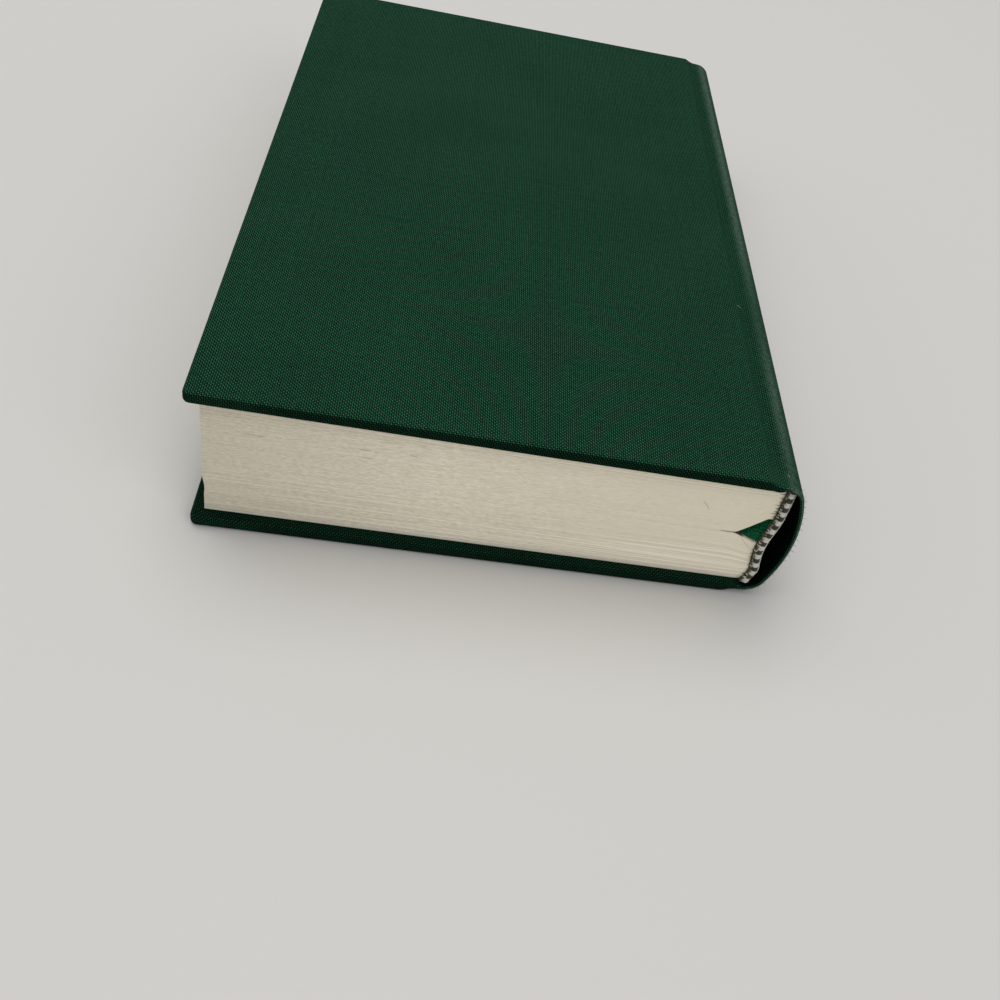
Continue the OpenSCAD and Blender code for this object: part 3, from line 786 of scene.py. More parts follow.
def satin():
    """Satin ribbon: smooth dyed filament with fine ribs across, with painted highlights and glints along
    the ribs.
    """
    colours = bpy.context.scene.book_colours
    rib_spacing = 0.32 * MM
    material, tree, shader = new_material(
        "Satin ribbon", colours.ribbon, Roughness=0.45, Specular_IOR_Level=0.05
    )
    place = add_node(tree, "ShaderNodeUVMap", uv_map="weave")
    along = add_node(tree, "ShaderNodeSeparateXYZ", [place]).outputs[1]
    grain = add_node(tree, "ShaderNodeTexNoise", {"Vector": place, "Scale": 2600.0, "Detail": 3.0})
    height = chain(
        tree, "ShaderNodeMath", along, ("MULTIPLY", 2 * math.pi / rib_spacing), ("SINE",),
        ("MULTIPLY_ADD", 0.12, grain),
    )
    # Painted highlights on the ribs' tops and painted glints along them
    bright = add_node(tree, "ShaderNodeMapRange", [height, 0.3, 0.75, 0.35, 2.3])
    painted_glint = add_node(tree, "ShaderNodeMapRange", [height, 0.64, 0.74, 0.0, 0.35])
    base = add_node(
        tree, "ShaderNodeVectorMath", {0: colours.ribbon[:3], "Scale": bright}, operation="SCALE"
    )
    base = add_node(
        tree, "ShaderNodeMix", {FACTOR: painted_glint, COLOUR_A: base, COLOUR_B: colours.painted_glint}, data_type="RGBA"
    )
    bump = add_node(tree, "ShaderNodeBump", {"Height": height, "Distance": 0.1 * MM})
    link_surface(tree, shader, base.outputs[MIXED_COLOUR], bump)
    return material


def swell(z, middle, half):
    """One at the middle, falling smoothly to nothing at the distance half."""
    share = np.clip((z - middle) / half, -1, 1)
    return np.where(np.abs(z - middle) < half, np.cos(np.pi / 2 * share) ** 2, 0)


def block_values():
    """Places on the block that several pieces share, with each x from the covers' fore-edge."""
    pages = bpy.context.scene.book_pages
    case = bpy.context.scene.book_case
    slope = math.tan(case.splay)
    inner = COVER_DEPTH + 2 * pages.paper_t + pages.page_gap
    hinge = HINGE_X - FORE_X
    back = hinge + pages.back_reach
    gap_low = 0.43 * THICK
    dip_z, dip_half = 0.39 * THICK, 0.3 * THICK
    tip_z = gap_low + GAP_SUNK * pages.gap_h
    tip_x = back - pages.back_dip * float(swell(gap_low, dip_z, dip_half)) - pages.gap_w

    def high_at(x):
        """Level of the top leaf."""
        return THICK - inner / math.cos(case.splay) + (hinge - x) * slope

    return {
        "back": back,
        "low": inner,
        "high_at": high_at,
        "dip_z": dip_z,
        "dip_half": dip_half,
        "head": HEAD_Y + pages.head_square_spine,
        "tail": TAIL_Y - pages.tail_square,
        "gap_low": gap_low,
        "gap_tip_z": tip_z,
        "tip_x": tip_x,
        "parted": (tip_z - inner) / (high_at(tip_x) - inner),
    }


def back_at(z):
    """The x of the back of the pages at the level z, from the covers' fore-edge."""
    at, pages = block_values(), bpy.context.scene.book_pages
    foot = pages.back_foot * (1 - smoothstep(at["low"] - 0.5 * MM, at["low"] + 3.5 * MM, z))
    return at["back"] - pages.back_dip * swell(z, at["dip_z"], at["dip_half"]) - foot


def leaf_z(share, x, y):
    """Level of a leaf's edge, lifted or sunk where the gap parts the leaves."""
    pages = bpy.context.scene.book_pages
    at = block_values()
    reach = np.clip((x - at["tip_x"]) / pages.gap_w, 0, 1)
    close = np.clip((y - at["head"]) / pages.gap_run, 0, 1)
    open_h = pages.gap_h * reach ** 1.05 * (1 - close) ** 1.6
    # At the head the leaves stay a hair apart past the gap's corner, and room is left for the ribbon
    at_head = y < at["head"] + 1 * MM
    crack = 0.05 * MM * np.clip((x - 0.4 * at["back"]) / (0.5 * at["back"]), 0, 1)
    crack = (crack + 0.15 * MM * np.exp(np.minimum(x - at["tip_x"], 0) / (1.5 * MM))) * at_head
    beside_ribbon = smoothstep(-9.2 * MM, -8.0 * MM, x - at["back"])
    room = 0.26 * MM * beside_ribbon * (y < at["tail"] - 8 * MM + 0.2 * MM)
    gap = np.maximum(open_h, room) + crack
    z = at["low"] + (at["high_at"](x) - at["low"]) * share
    # The leaves next to the gap move most, and the outermost ones stay
    if share <= at["parted"]:
        return z - GAP_SUNK * gap * (share / at["parted"]) ** 1.4
    return z + (1 - GAP_SUNK) * gap * ((1 - share) / (1 - at["parted"])) ** 1.4


def pages_mesh():
    """The sewn leaves as two shells that part at the head, each leaf edge a ridge with its own slip."""
    pages = bpy.context.scene.book_pages
    at = block_values()
    parted, width = at["parted"], at["back"] - pages.fore_square
    # The height shares of the upper shell stay just inside its ends, so that they count as above the gap
    hair = 1e-9
    chance = np.random.RandomState(7)
    widths = chance.uniform(0.5, 1.6, pages.sheets)
    marks = np.concatenate([[0], np.cumsum(widths)]) / widths.sum()
    across = np.concatenate([np.linspace(0, 0.9, 46)[:-1], np.linspace(0.9, 1, 27)])
    down = np.concatenate([np.linspace(0, 0.1, 15)[:-1], np.linspace(0.1, 1, 28)])
    nx, ny = len(across), len(down)
    border = [(i, 0) for i in range(nx)] + [(nx - 1, j) for j in range(1, ny)]
    border += [(i, ny - 1) for i in range(nx - 2, -1, -1)] + [(0, j) for j in range(ny - 2, 0, -1)]
    border = np.array(border)
    ripple = chance.normal(0, 1, (pages.sheets + 1, 4))

    def spots(i, j, share, inset, notch):
        """Frame points for grid places at one leaf's level."""
        a, b = across[i], down[j]
        flat_x = pages.fore_square + a * width
        rough_y = at["head"] + b * (at["tail"] - at["head"])
        z = leaf_z(share, flat_x, rough_y)
        fore = pages.fore_square - 0.25 * MM * swell(z, 0.45 * THICK, 0.3 * THICK)
        fore = fore + 0.25 * MM * swell(z, 0.28 * THICK, 0.12 * THICK) + inset
        x = fore + a * (back_at(z) - notch - fore)
        head = HEAD_Y + pages.head_square + inset
        head = head + (pages.head_square_spine - pages.head_square) * (x - pages.fore_square) / width
        y = head + b * (at["tail"] - inset - head)
        return np.stack([x + FORE_X, y, z], -1)

    points, faces, leaf = [], [], []
    for low_share, high_share in ((0, parted), (parted, 1)):
        loops = []
        inside = marks[(marks > low_share) & (marks < high_share)]
        edges = np.concatenate([[low_share], inside, [high_share]])
        for k in range(len(edges) - 1):
            middle = (edges[k] + edges[k + 1]) / 2
            gathering = int(middle * pages.gatherings)
            local = middle * pages.gatherings - gathering
            slip = pages.slip * (1 + math.sin(math.radians(137.5 * gathering))) / 2
            sheet = int(np.searchsorted(marks, middle)) - 1
            slip += pages.leaf_slip * ripple[sheet, 0] * 0.5
            notch = pages.fold_notch * abs(2 * local - 1) ** 9
            crease = pages.leaf_slip * (1.2 + abs(ripple[sheet, 1]))
            thin = 0.12 * (edges[k + 1] - edges[k])
            if k > 0:
                loops.append((edges[k], slip + crease, notch))
            loops.append((edges[k] + thin * (k > 0), slip, notch))
            loops.append((edges[k + 1] - thin * (k < len(edges) - 2), slip, notch))
        start = len(points)
        size = len(border)
        for share, slip, notch in loops:
            share = min(share, high_share - hair if low_share else high_share)
            share = max(share, low_share + hair) if low_share else share
            points.extend(spots(border[:, 0], border[:, 1], share, slip, notch))
            leaf.extend([share * LEAF_NUMBERS] * size)
        for k in range(len(loops) - 1):
            for p in range(size):
                q = (p + 1) % size
                a = start + k * size
                faces.append((a + p, a + q, a + size + q, a + size + p))
        # Top and bottom of the shell as grids that share the border's vertices
        for k, flip in ((0, True), (len(loops) - 1, False)):
            share, slip, notch = loops[k]
            share = max(share, low_share + hair) if low_share else min(share, high_share)
            lookup = {tuple(place): start + k * size + p for p, place in enumerate(border.tolist())}
            inner = [(i, j) for i in range(1, nx - 1) for j in range(1, ny - 1)]
            for p, place in enumerate(inner):
                lookup[place] = len(points) + p
            grid = np.array(inner)
            points.extend(spots(grid[:, 0], grid[:, 1], share, slip, notch))
            leaf.extend([share * LEAF_NUMBERS] * len(inner))
            for i in range(nx - 1):
                for j in range(ny - 1):
                    corners = ((i, j), (i + 1, j), (i + 1, j + 1), (i, j + 1))
                    face = tuple(lookup[corner] for corner in corners)
                    faces.append(face[::-1] if flip else face)
    mesh = bpy.data.meshes.new("leaves")
    mesh.from_pydata([tuple(p) for p in points], [], faces)
    set_values(mesh, "leaf", leaf)
    return mesh


def paste_sheet(cover):
    """The endpaper's pasted half: over the turn-ins, the board and the mull, and down to the block."""
    case = bpy.context.scene.book_case
    pages = bpy.context.scene.book_pages
    at = block_values()
    left = FORE_X - HINGE_X
    ease = 0.9 * MM
    start = left + pages.fore_square
    window_x = left + case.turn_in
    flange_x = BOARD_END - MULL_FLANGE
    x = np.unique(np.concatenate([
        np.linspace(start, window_x, 8), np.linspace(window_x, window_x + ease, 6),
        np.linspace(window_x + ease, flange_x, 20), np.linspace(flange_x, flange_x + ease, 4),
        np.linspace(flange_x + ease, BOARD_END, 12), np.linspace(BOARD_END, PASTE_END, 18),
    ]).round(7))
    inner_y = (HEAD_Y + case.turn_in, TAIL_Y - case.turn_in)
    y = np.unique(np.concatenate([
        np.linspace(HEAD_Y + pages.head_square_spine, inner_y[0], 8),
        np.linspace(inner_y[0], inner_y[0] + ease, 6),
        np.linspace(inner_y[0] + ease, inner_y[1] - ease, 40),
        np.linspace(inner_y[1] - ease, inner_y[1], 6),
        np.linspace(inner_y[1], TAIL_Y - pages.tail_square, 8),
    ]).round(7))
    gx, gy = np.meshgrid(x, y, indexing="ij")
    sunk = smoothstep(window_x, window_x + ease, gx) * smoothstep(inner_y[0], inner_y[0] + ease, gy)
    sunk = sunk * (1 - smoothstep(inner_y[1] - ease, inner_y[1], gy))
    on_mull = smoothstep(flange_x, flange_x + ease, gx)
    face = COVER_DEPTH + pages.paper_t
    # The mull lifts the paper a little; at the joint it stands off the cloth and ends short of the pages
    mull_t, proud, clear = 0.1 * MM, 0.04 * MM, 0.02 * MM
    depth = face - (case.cloth_t - mull_t * on_mull) * sunk
    joint = smoothstep(BOARD_END, BOARD_END / 3, gx)
    depth = depth * (1 - joint) + (face + proud) * joint
    depth = depth + (at["low"] - clear - face - proud) * smoothstep(0.1 * MM, 0.9 * MM, gx)
    slope = (pages.head_square_spine - pages.head_square) / (at["back"] - pages.fore_square)
    first = HEAD_Y + pages.head_square + slope * (gx - start)
    share = (gy - y[0]) / (y[-1] - y[0])
    gy = gy + (first - y[0]) * (1 - share) ** 8
    points = np.stack([gx, gy, -depth], -1).reshape(-1, 3)
    uvs, faces = points[:, :2], grid_faces(len(x), len(y))
    # A little thinner than the paper in the solid, so that it stays clear of the cover
    name, thickness = f"{SIDES[cover]}_endpaper", 0.95 * pages.paper_t
    return sheet_mesh(name, points, faces, uvs, cover, thickness, side=-1)


def thread_tree():
    """Geometry nodes that wind groups of thread rings along a line."""
    tree = bpy.data.node_groups.new("Wound thread", "GeometryNodeTree")
    sockets = (
        ("Line", "Geometry"), ("Spacing", "Float"), ("Ring radius", "Float"), ("Thread radius", "Float"),
        ("Repeat", "Int"), ("First", "Int"), ("Count", "Int"), ("Unevenness", "Float"), ("Seed", "Int"),
        ("Thread", "Material"),
    )
    for name, kind in sockets:
        tree.interface.new_socket(name, in_out="INPUT", socket_type=f"NodeSocket{kind}")
    tree.interface.new_socket("Rings", in_out="OUTPUT", socket_type="NodeSocketGeometry")
    given = add_node(tree, "NodeGroupInput").outputs
    line = add_node(tree, "GeometryNodeMeshToCurve", [given["Line"]])
    spots = add_node(
        tree, "GeometryNodeCurveToPoints", {"Curve": line, "Length": given["Spacing"]}, mode="LENGTH"
    )
    # Of each group of spots, those from the first on are kept until their count is full
    index = add_node(tree, "GeometryNodeInputIndex")
    phase = chain(
        tree, "ShaderNodeMath", index, ("MODULO", given["Repeat"]), ("SUBTRACT", given["First"])
    )
    before = add_node(tree, "ShaderNodeMath", [phase, -0.5], operation="LESS_THAN")
    count = add_node(tree, "ShaderNodeMath", [given["Count"], 0.5], operation="SUBTRACT")
    after = add_node(tree, "ShaderNodeMath", [phase, count], operation="GREATER_THAN")
    other = add_node(tree, "ShaderNodeMath", [before, after], operation="MAXIMUM")
    kept = add_node(
        tree, "GeometryNodeDeleteGeometry", {"Geometry": spots.outputs["Points"], "Selection": other}
    )
    ring, strand = (
        add_node(tree, "GeometryNodeCurvePrimitiveCircle", {"Resolution": sides, "Radius": given[radius]})
        for sides, radius in ((14, "Ring radius"), (6, "Thread radius"))
    )
    loop = add_node(tree, "GeometryNodeCurveToMesh", {"Curve": ring, "Profile Curve": strand})
    # Each ring has its own tilt and size
    tilt_low = add_node(tree, "ShaderNodeMath", [given["Unevenness"], -1.0], operation="MULTIPLY")
    tilt = add_node(
        tree, "FunctionNodeRandomValue", {0: tilt_low, 1: given["Unevenness"], "Seed": given["Seed"]},
        data_type="FLOAT_VECTOR",
    )
    rings = add_node(
        tree, "GeometryNodeInstanceOnPoints",
        {"Points": kept, "Instance": loop, "Rotation": spots.outputs["Rotation"]},
    )
    rings = add_node(tree, "GeometryNodeRotateInstances", {"Instances": rings, "Rotation": tilt})
    low = add_node(tree, "ShaderNodeMath", [1.0, given["Unevenness"]], operation="SUBTRACT")
    size = add_node(
        tree, "FunctionNodeRandomValue", {2: low, 3: 1.02, "Seed": given["Seed"]}, data_type="FLOAT"
    )
    rings = add_node(tree, "GeometryNodeScaleInstances", {"Instances": rings, "Scale": size.outputs[1]})
    real = add_node(tree, "GeometryNodeRealizeInstances", [rings])
    painted = add_node(tree, "GeometryNodeSetMaterial", {"Geometry": real, "Material": given["Thread"]})
    add_node(tree, "NodeGroupOutput", [painted])
    return tree


def wound_thread(name, line, material, **values):
    """Winds thread rings along a line and gives them as one plain mesh that rides on the block."""
    tree = bpy.data.node_groups.get("Wound thread") or thread_tree()
    mesh = bpy.data.meshes.new(name)
    mesh.from_pydata([tuple(p) for p in line], [(i, i + 1) for i in range(len(line) - 1)], [])
    made = bpy.data.objects.new(name, mesh)
    bpy.context.scene.collection.objects.link(made)
    winding = made.modifiers.new("Wound thread", "NODES")
    winding.node_group = tree
    sockets = {item.name: item.identifier for item in tree.interface.items_tree if item.in_out == "INPUT"}
    for key, value in values.items():
        winding[sockets[key.replace("_", " ")]] = value
    winding[sockets["Thread"]] = material
    settled(made)
    made.data.shade_smooth()
    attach(made, "book_block")
    return made


def ribbon_mesh():
    """The ribbon: glued up the back of the pages, in at the gap and twisting flat between the leaves."""
    trim = bpy.context.scene.book_trim
    at = block_values()
    low = at["gap_low"] + 0.05 * MM
    high = low + trim.ribbon_w
    lift = 0.07 * MM + trim.ribbon_t / 2
    upper_x = back_at(high) + lift
    lower_x = back_at(low) + lift
    tip_x = at["tip_x"] + 5 * trim.ribbon_t
    slit_z = at["gap_tip_z"]
    far_x = back_at(slit_z) - 1.3 * MM
    near_x = far_x - trim.ribbon_w
    head = at["head"]
    end_y = at["tail"] - trim.ribbon_short
    start, lower_run, upper_run = 0.13 * MM, 0.2 * MM, 6.4 * MM
    upper, lower = [], []
    for y in (trim.ribbon_glued, trim.ribbon_glued / 2, 4 * start, 2 * start):
        upper.append((upper_x, head + y, high))
        lower.append((lower_x, head + y, low))
    for share in np.linspace(0, 1, 9):
        fall = (high - slit_z) * (share + 3 * share ** 2) / 4
        upper.append((upper_x + (far_x - upper_x) * share, head + start + upper_run * share, high - fall))
        lower.append((
            lower_x + (tip_x - lower_x) * share, head + start + lower_run * share ** 2,
            low + 0.8 * (slit_z - low) * share,
        ))
    upper.append((far_x, head + 1.5 * upper_run, slit_z))
    lower.append(((tip_x + near_x) / 2, head + upper_run / 2, slit_z))
    for y in (head + 2 * upper_run, (head + end_y) / 2, end_y):
        upper.append((far_x, y, slit_z))
        lower.append((near_x, y, slit_z))
    upper, lower = np.array(upper), np.array(lower)
    run = np.concatenate([[0], np.cumsum(np.linalg.norm(np.diff((upper + lower) / 2, axis=0), axis=1))])
    ribs = 9
    points, uvs = [], []
    for k in range(len(run)):
        for share in np.linspace(0, 1, ribs):
            spot = upper[k] + (lower[k] - upper[k]) * share
            points.append((spot[0] + FORE_X, spot[1], spot[2]))
            uvs.append((trim.ribbon_w * share, run[k]))
    mesh = bpy.data.meshes.new("ribbon")
    mesh.from_pydata(points, [], grid_faces(len(run), ribs))
    lay_uvs(mesh, uvs)
    return mesh


class BOOK_OT_stage(bpy.types.Operator):
    """Sets the camera, floor and soft studio light"""

    bl_idname = "book.stage"
    bl_label = "Studio"

    def execute(self, context):
        scene, studio = context.scene, context.scene.book_studio
        scene.view_settings.view_transform = "Standard"
        camera = bpy.data.objects.new("camera", bpy.data.cameras.new("camera"))
        camera.data.lens = studio.lens
        camera.data.clip_start, camera.data.clip_end = 0.01, 20
        turn = Matrix.Rotation(studio.yaw, 4, "Z") @ Matrix.Rotation(math.pi / 2 - studio.pitch, 4, "X")
        camera.matrix_world = Matrix.Translation(studio.place) @ turn @ Matrix.Rotation(studio.roll, 4, "Z")
        scene.collection.objects.link(camera)
        scene.camera = camera

        # The floor lies a hair below the book, so that an opened cover that reaches it stays in sight
        reach, level = 10.0, -0.05 * MM
        corners = [(x * reach, y * reach, level) for x, y in ((-1, -1), (1, -1), (1, 1), (-1, 1))]
        mesh = bpy.data.meshes.new("floor")
        mesh.from_pydata(corners, [], [(0, 1, 2, 3)])
        colours = context.scene.book_colours
        pale = colours.floor
        material, tree, shader = new_material("Painted studio floor", pale, Roughness=0.6, Base_Color=pale)
        # Far from the book, past the lamps' reach, the camera sees the floor's plain tone
        place = add_node(tree, "ShaderNodeTexCoord").outputs["Object"]
        away = add_node(tree, "ShaderNodeVectorMath", [place], operation="LENGTH").outputs["Value"]
        away = add_node(tree, "ShaderNodeMapRange", [away, 0.5, 1.6, 0.0, 1.0])
        camera_ray = add_node(tree, "ShaderNodeLightPath").outputs["Is Camera Ray"]
        away = add_node(tree, "ShaderNodeMath", [away, camera_ray], operation="MULTIPLY")
        plain = add_node(tree, "ShaderNodeEmission", [pale, 1.0])
        seen = add_node(tree, "ShaderNodeMixShader", [away, shader, plain])
        tree.links.new(seen.outputs[0], tree.nodes["Material Output"].inputs["Surface"])
        paint(mesh, material)
        floor = bpy.data.objects.new("floor", mesh)
        scene.collection.objects.link(floor)

        world = bpy.data.worlds.new("studio")
        world.use_nodes = True
        tree = world.node_tree
        # The camera sees the floor's own tone behind the floor, while the even light stays cool and soft
        seen = add_node(tree, "ShaderNodeLightPath").outputs["Is Camera Ray"]
        tone = add_node(
            tree, "ShaderNodeMix", {FACTOR: seen, COLOUR_A: colours.sky, COLOUR_B: pale}, data_type="RGBA"
        ).outputs[MIXED_COLOUR]
        strength = add_node(
            tree, "ShaderNodeMix", {FACTOR: seen, FLOAT_A: studio.sky, FLOAT_B: 1.0}, data_type="FLOAT"
        )
        light = add_node(tree, "ShaderNodeBackground", [tone, strength])
        add_node(tree, "ShaderNodeOutputWorld", [light], is_active_output=True)
        scene.world = world

        lamps = (
            ("key", studio.key, (0.95, -1.1, 1.2), 1.3, "#fffaf2"),
            ("overhead", studio.overhead, (-0.2, 0.4, 1.5), 1.4, "#fffcf6"),
        )
        for name, power, place, width, tone in lamps:
            lamp = bpy.data.lights.new(name, "AREA")
            lamp.energy = power
            lamp.size = width
            lamp.color = linear(tone)[:3]
            holder = bpy.data.objects.new(name, lamp)
            holder.location = place
            holder.rotation_euler = (Vector((0, 0, 0)) - Vector(place)).to_track_quat("-Z", "Y").to_euler()
            scene.collection.objects.link(holder)
        return {"FINISHED"}


class BOOK_OT_case_cloth(bpy.types.Operator):
    """Covers the boards and the spine with woven cloth, turned in at the edges and bending at the joints"""

    bl_idname = "book.case_cloth"
    bl_label = "Case cloth"

    def execute(self, context):
        material = woven_cloth()
        for cover, nodes in (
            ("front_cover", ("front_cloth", "spine_cloth")), ("back_cover", ("back_cloth",))
        ):
            made = as_object(f"{SIDES[cover]}_case_cloth", case_cloth(cover), material)
            bend_at_joint(made, cover)
            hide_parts(*nodes)
        return {"FINISHED"}


class BOOK_OT_pages(bpy.types.Operator):
    """Builds the sewn leaves with their trimmed edges and the gap at the head"""

    bl_idname = "book.pages"
    bl_label = "Pages"

    def execute(self, context):
        made = as_object("sewn_leaves", pages_mesh(), leaf_edges(), math.radians(25))
        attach(made, "book_block")
        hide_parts("text_block")
        return {"FINISHED"}


class BOOK_OT_endpapers(bpy.types.Operator):
    """Lays the endpapers on the boards and across the joints to the pages"""

    bl_idname = "book.endpapers"
    bl_label = "Endpapers"

    def execute(self, context):
        paper = plain_paper("Uncoated endpaper", context.scene.book_colours.endpaper, 0.5 * MM, 0.05)
        for cover, side in SIDES.items():
            made = as_object(f"{side}_endpaper", paste_sheet(cover), paper)
            bend_at_joint(made, cover)
            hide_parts(f"{side}_pastedown")
            paint(frame["nodes"][f"{side}_flyleaf"].data, paper)
        return {"FINISHED"}


class BOOK_OT_bands(bpy.types.Operator):
    """Winds the head and tail bands in light and dark silk on their tapes"""

    bl_idname = "book.bands"
    bl_label = "Bands"

    def execute(self, context):
        trim, colours = context.scene.book_trim, context.scene.book_colours
        light, dark = silk("Light band silk", colours.silk_light), silk("Dark band silk", colours.silk_dark)
        worn = silk("Worn band silk", colours.silk_root)
        at = block_values()
        tape_in = trim.ribbon_t + 0.15 * MM
        out = tape_in - 0.05 * MM + trim.bead_r
        levels = np.linspace(at["low"] - 0.6 * MM, at["high_at"](at["back"]) - 0.4 * MM, 60)
        for name, edge, side in (("head_band", at["head"], -1), ("tail_band", at["tail"], 1)):
            y = edge + side * (trim.bead_rise - trim.bead_r)
            bead = np.stack([back_at(levels) + out + FORE_X, levels * 0 + y, levels], 1)
            # Eights of four light threads and four dark ones, which lie a little deeper
            ring = trim.bead_r - trim.thread_r
            groups = {
                "Spacing": 0.325 * MM, "Repeat": 8, "Count": 4, "Unevenness": 0.07,
                "Thread_radius": trim.thread_r,
            }
            first = wound_thread(
                f"{name}_light_silk", bead, light, Ring_radius=ring, First=0, Seed=3, **groups
            )
            wound_thread(
                f"{name}_dark_silk", bead, dark, Ring_radius=ring - 0.05 * MM, First=4, Seed=5, **groups
            )
            # Worn threads along the pages' edge and a light one along the tape: x, y and radius in
            # millimetres, one spot in how many, and unevenness
            for part, material, out_x, out_y, radius, repeat, uneven in (
                ("roots", worn, 0.0, 0.2, 0.2, 1, 0.5), ("crown", worn, 0.2, 0.45, 0.26, 2, 0.6),
                ("strokes", light, 0.24, 0.5, 0.32, 3, 0.9), ("rim", light, 1.84, 0.35, 0.07, 1, 0.2),
            ):
                line = np.stack([
                    back_at(levels) + out_x * MM + FORE_X, levels * 0 + edge + side * out_y * MM, levels
                ], 1)
                wound_thread(
                    f"{name}_{part}", line, material, Ring_radius=radius * MM, Thread_radius=0.1 * MM,
                    Spacing=0.26 * MM, Repeat=repeat, First=0, Count=1, Unevenness=uneven, Seed=9,
                )
            # Painted shade: dark strands in the gaps between the gatherings
            gap_shade_strands = strands(f"{name}_fringe", self.gap_shade_strands(edge, side), 0.04 * MM, worn)
            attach(gap_shade_strands, "book_block")
            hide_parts(name)
            tape = self.tape(levels, y, edge - side * trim.tape_h, tape_in)
            tape = as_object(f"{name}_tape", tape, light)
            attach(tape, "book_block")
        return {"FINISHED"}

    def gap_shade_strands(self, edge, side):
        """Dark strands that paint the shade of the gaps between the folded gatherings, running from the
        band in between them.
        """
        at, chance = block_values(), np.random.RandomState(11)
        count = bpy.context.scene.book_pages.gatherings
        paths = []
        for share in np.arange(1, count) / count:
            z = leaf_z(share, at["back"], edge)
            reach = chance.uniform(0.5, 1.5) * MM * (1 if share > 0.6 else 0.5)
            x, drop = FORE_X + float(back_at(z)), chance.uniform(-0.5, 0.5) * MM
            paths.append([
                (x + 0.25 * MM, edge + side * 0.3 * MM, z + drop),
                (x, edge + side * 0.12 * MM, z + drop / 2),
                (x - reach / 2, edge + side * 0.04 * MM, z + drop / 3), (x - reach, edge, z),
            ])
        return paths

    def tape(self, levels, from_y, to_y, depth):
        """The tape that carries the bead, along the back of the pages."""
        trim = bpy.context.scene.book_trim
        points, faces = [], []
        for z in levels:
            for x, y in ((0, from_y), (0, to_y), (trim.tape_t, to_y), (trim.tape_t, from_y)):
                points.append((float(back_at(z)) + depth + x + FORE_X, y, z))
        for k in range(len(levels) - 1):
            for j in range(4):
                a, b = 4 * k + j, 4 * k + (j + 1) % 4
                faces.append((a, b, b + 4, a + 4))
        last = 4 * (len(levels) - 1)
        faces += [(3, 2, 1, 0), (last, last + 1, last + 2, last + 3)]
        mesh = bpy.data.meshes.new("tape")
        mesh.from_pydata(points, [], faces)
        work = bmesh.new()
        work.from_mesh(mesh)
        bmesh.ops.recalc_face_normals(work, faces=work.faces)
        work.to_mesh(mesh)
        work.free()
        return mesh


class BOOK_OT_ribbon(bpy.types.Operator):
    """Runs the satin ribbon from the back of the pages in between the leaves"""

    bl_idname = "book.ribbon"
    bl_label = "Ribbon"

    def execute(self, context):
        made = as_object("satin_ribbon", ribbon_mesh(), satin(), math.radians(60))
        wall = made.modifiers.new("Thickness", "SOLIDIFY")
        wall.thickness = context.scene.book_trim.ribbon_t
        wall.offset = 0
        finer = made.modifiers.new("Curve", "SUBSURF")
        finer.levels = finer.render_levels = 1
        settled(made)
        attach(made, "book_block")
        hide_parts("ribbon_marker")
        return {"FINISHED"}


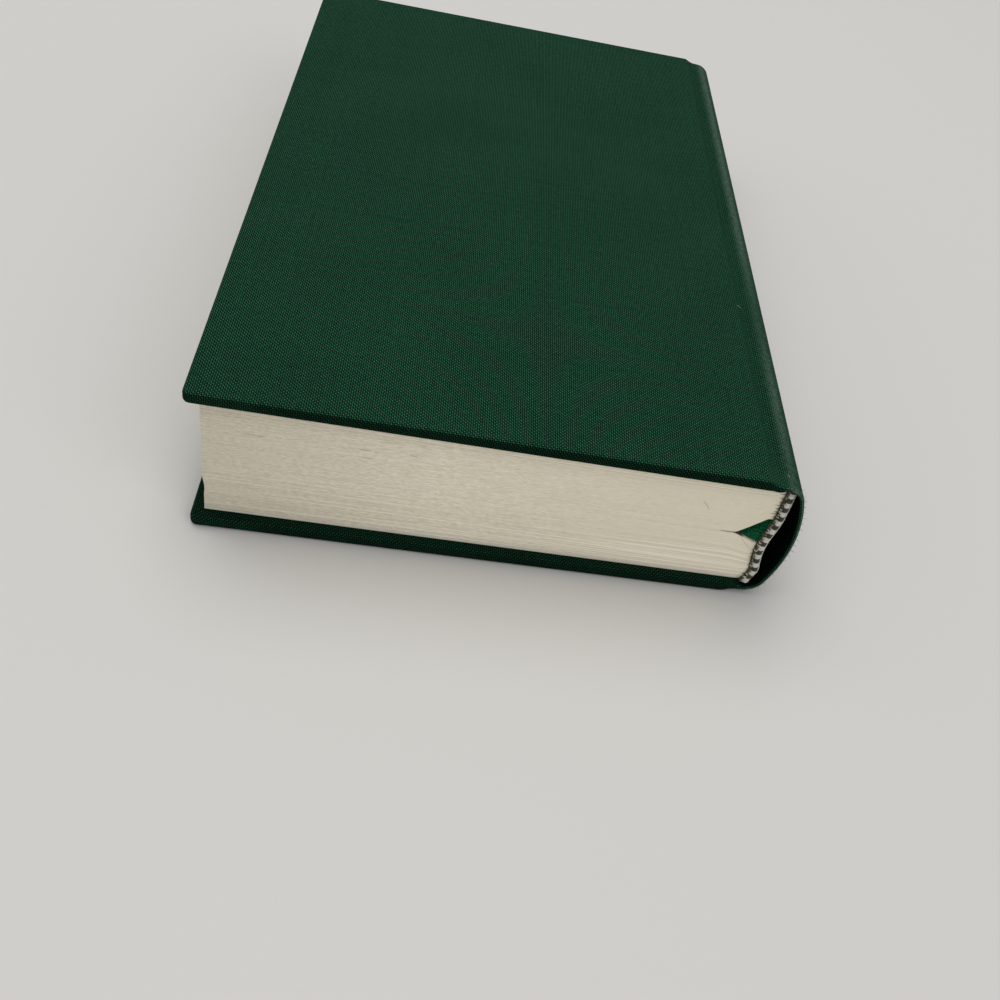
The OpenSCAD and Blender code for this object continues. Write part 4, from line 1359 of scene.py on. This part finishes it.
class BOOK_OT_marks(bpy.types.Operator):
    """Lays lint on the cloth, fibres and scratches on the leaves' edges and a painted shadow line by the
    gap's tip, where the photo shows them
    """

    bl_idname = "book.marks"
    bl_label = "Lint and marks"

    def execute(self, context):
        colours = context.scene.book_colours
        materials = {
            "lint": silk("Cotton lint", colours.lint), "dirt": silk("Paper dust", colours.dirt),
            "hair": silk("Brown fibre", colours.hair), "fuzz": silk("Raised cotton fibres", colours.sheen_and_fibres),
        }
        for name, paths, radius, material, slot, joint in MARKS:
            paths = [[[c * MM for c in place] for place in path] for path in paths]
            made = strands(name, paths, radius * MM, materials[material])
            if joint:
                bend_at_joint(made, "front_cover")
            else:
                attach(made, "book_block")
        for cover, side in SIDES.items():
            name, paths = f"{side}_spine_fuzz", self.fuzz(cover)
            fuzz = strands(name, paths, 0.025 * MM, materials["fuzz"])
            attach(fuzz, "book_block")
        return {"FINISHED"}

    def fuzz(self, cover):
        """Fibres raised on the spine: half of them round its head, the others along the shoulder."""
        chance = np.random.RandomState(23 if cover == "front_cover" else 29)
        _, place, inwards, *_ = case_section()
        spine = np.flatnonzero(place[:, 0] > bpy.context.scene.book_case.shoulder_w)
        paths = []
        for number in range(120):
            c = chance.choice(spine)
            out = np.array([inwards[c, 0], chance.uniform(-0.6, 0.6), inwards[c, 1]])
            base = np.array([place[c, 0], chance.uniform(HEAD_Y, TAIL_Y), place[c, 1]])
            if number % 2:
                out = np.array([inwards[c, 0], -chance.uniform(0.3, 1.2), inwards[c, 1]])
                base[1] = HEAD_Y + 0.3 * MM
            reach = chance.uniform(0.25, 0.6) * MM
            bend = chance.uniform(-0.3, 0.3, 3) * reach
            path = [base - 0.05 * MM * out, base + out * reach / 2 + bend, base + out * reach]
            paths.append(hang(path, cover).tolist())
        return paths


class BOOK_OT_linings(bpy.types.Operator):
    """Gives the boards, the card strip, the mull and the lining paper their finishes"""

    bl_idname = "book.linings"
    bl_label = "Boards and linings"

    def execute(self, context):
        colours = context.scene.book_colours
        board = plain_paper("Pressed greyboard", colours.greyboard, 1.2 * MM, 0.18)
        card = plain_paper("Manila card", colours.card, 0.6 * MM, 0.08)
        kraft = plain_paper("Kraft lining paper", colours.kraft, 0.7 * MM, 0.12)
        mull = gauze()
        finishes = {
            "front_board": board, "back_board": board, "spine_strip": card, "spine_lining": kraft,
            "spine_mull": mull, "front_mull_flange": mull, "back_mull_flange": mull,
        }
        for name, material in finishes.items():
            paint(frame["nodes"][name].data, material)
        return {"FINISHED"}


class BOOK_PT_panel(bpy.types.Panel):
    """Lists the book's pieces in the sidebar"""

    bl_idname = "BOOK_PT_panel"
    bl_label = "Cloth-Bound Book"
    bl_space_type = "VIEW_3D"
    bl_region_type = "UI"
    bl_category = "Book"

    def draw(self, context):
        for operator in OPERATORS:
            self.layout.operator(operator.bl_idname)


GROUPS = {
    "book_case": CaseSizes, "book_pages": PageSizes, "book_trim": TrimSizes, "book_colours": BookColours,
    "book_studio": StudioSettings,
}
OPERATORS = (
    BOOK_OT_stage, BOOK_OT_case_cloth, BOOK_OT_pages, BOOK_OT_endpapers, BOOK_OT_bands, BOOK_OT_ribbon,
    BOOK_OT_linings, BOOK_OT_marks,
)


def register():
    for kind in (*GROUPS.values(), *OPERATORS, BOOK_PT_panel):
        bpy.utils.register_class(kind)
    for name, kind in GROUPS.items():
        setattr(bpy.types.Scene, name, PointerProperty(type=kind))


def unregister():
    for name in GROUPS:
        delattr(bpy.types.Scene, name)
    for kind in (BOOK_PT_panel, *OPERATORS, *GROUPS.values()):
        bpy.utils.unregister_class(kind)


def main():
    register()
    for operator in OPERATORS:
        getattr(bpy.ops.book, operator.bl_idname.split(".")[1])()


if __name__ == "__main__":
    main()
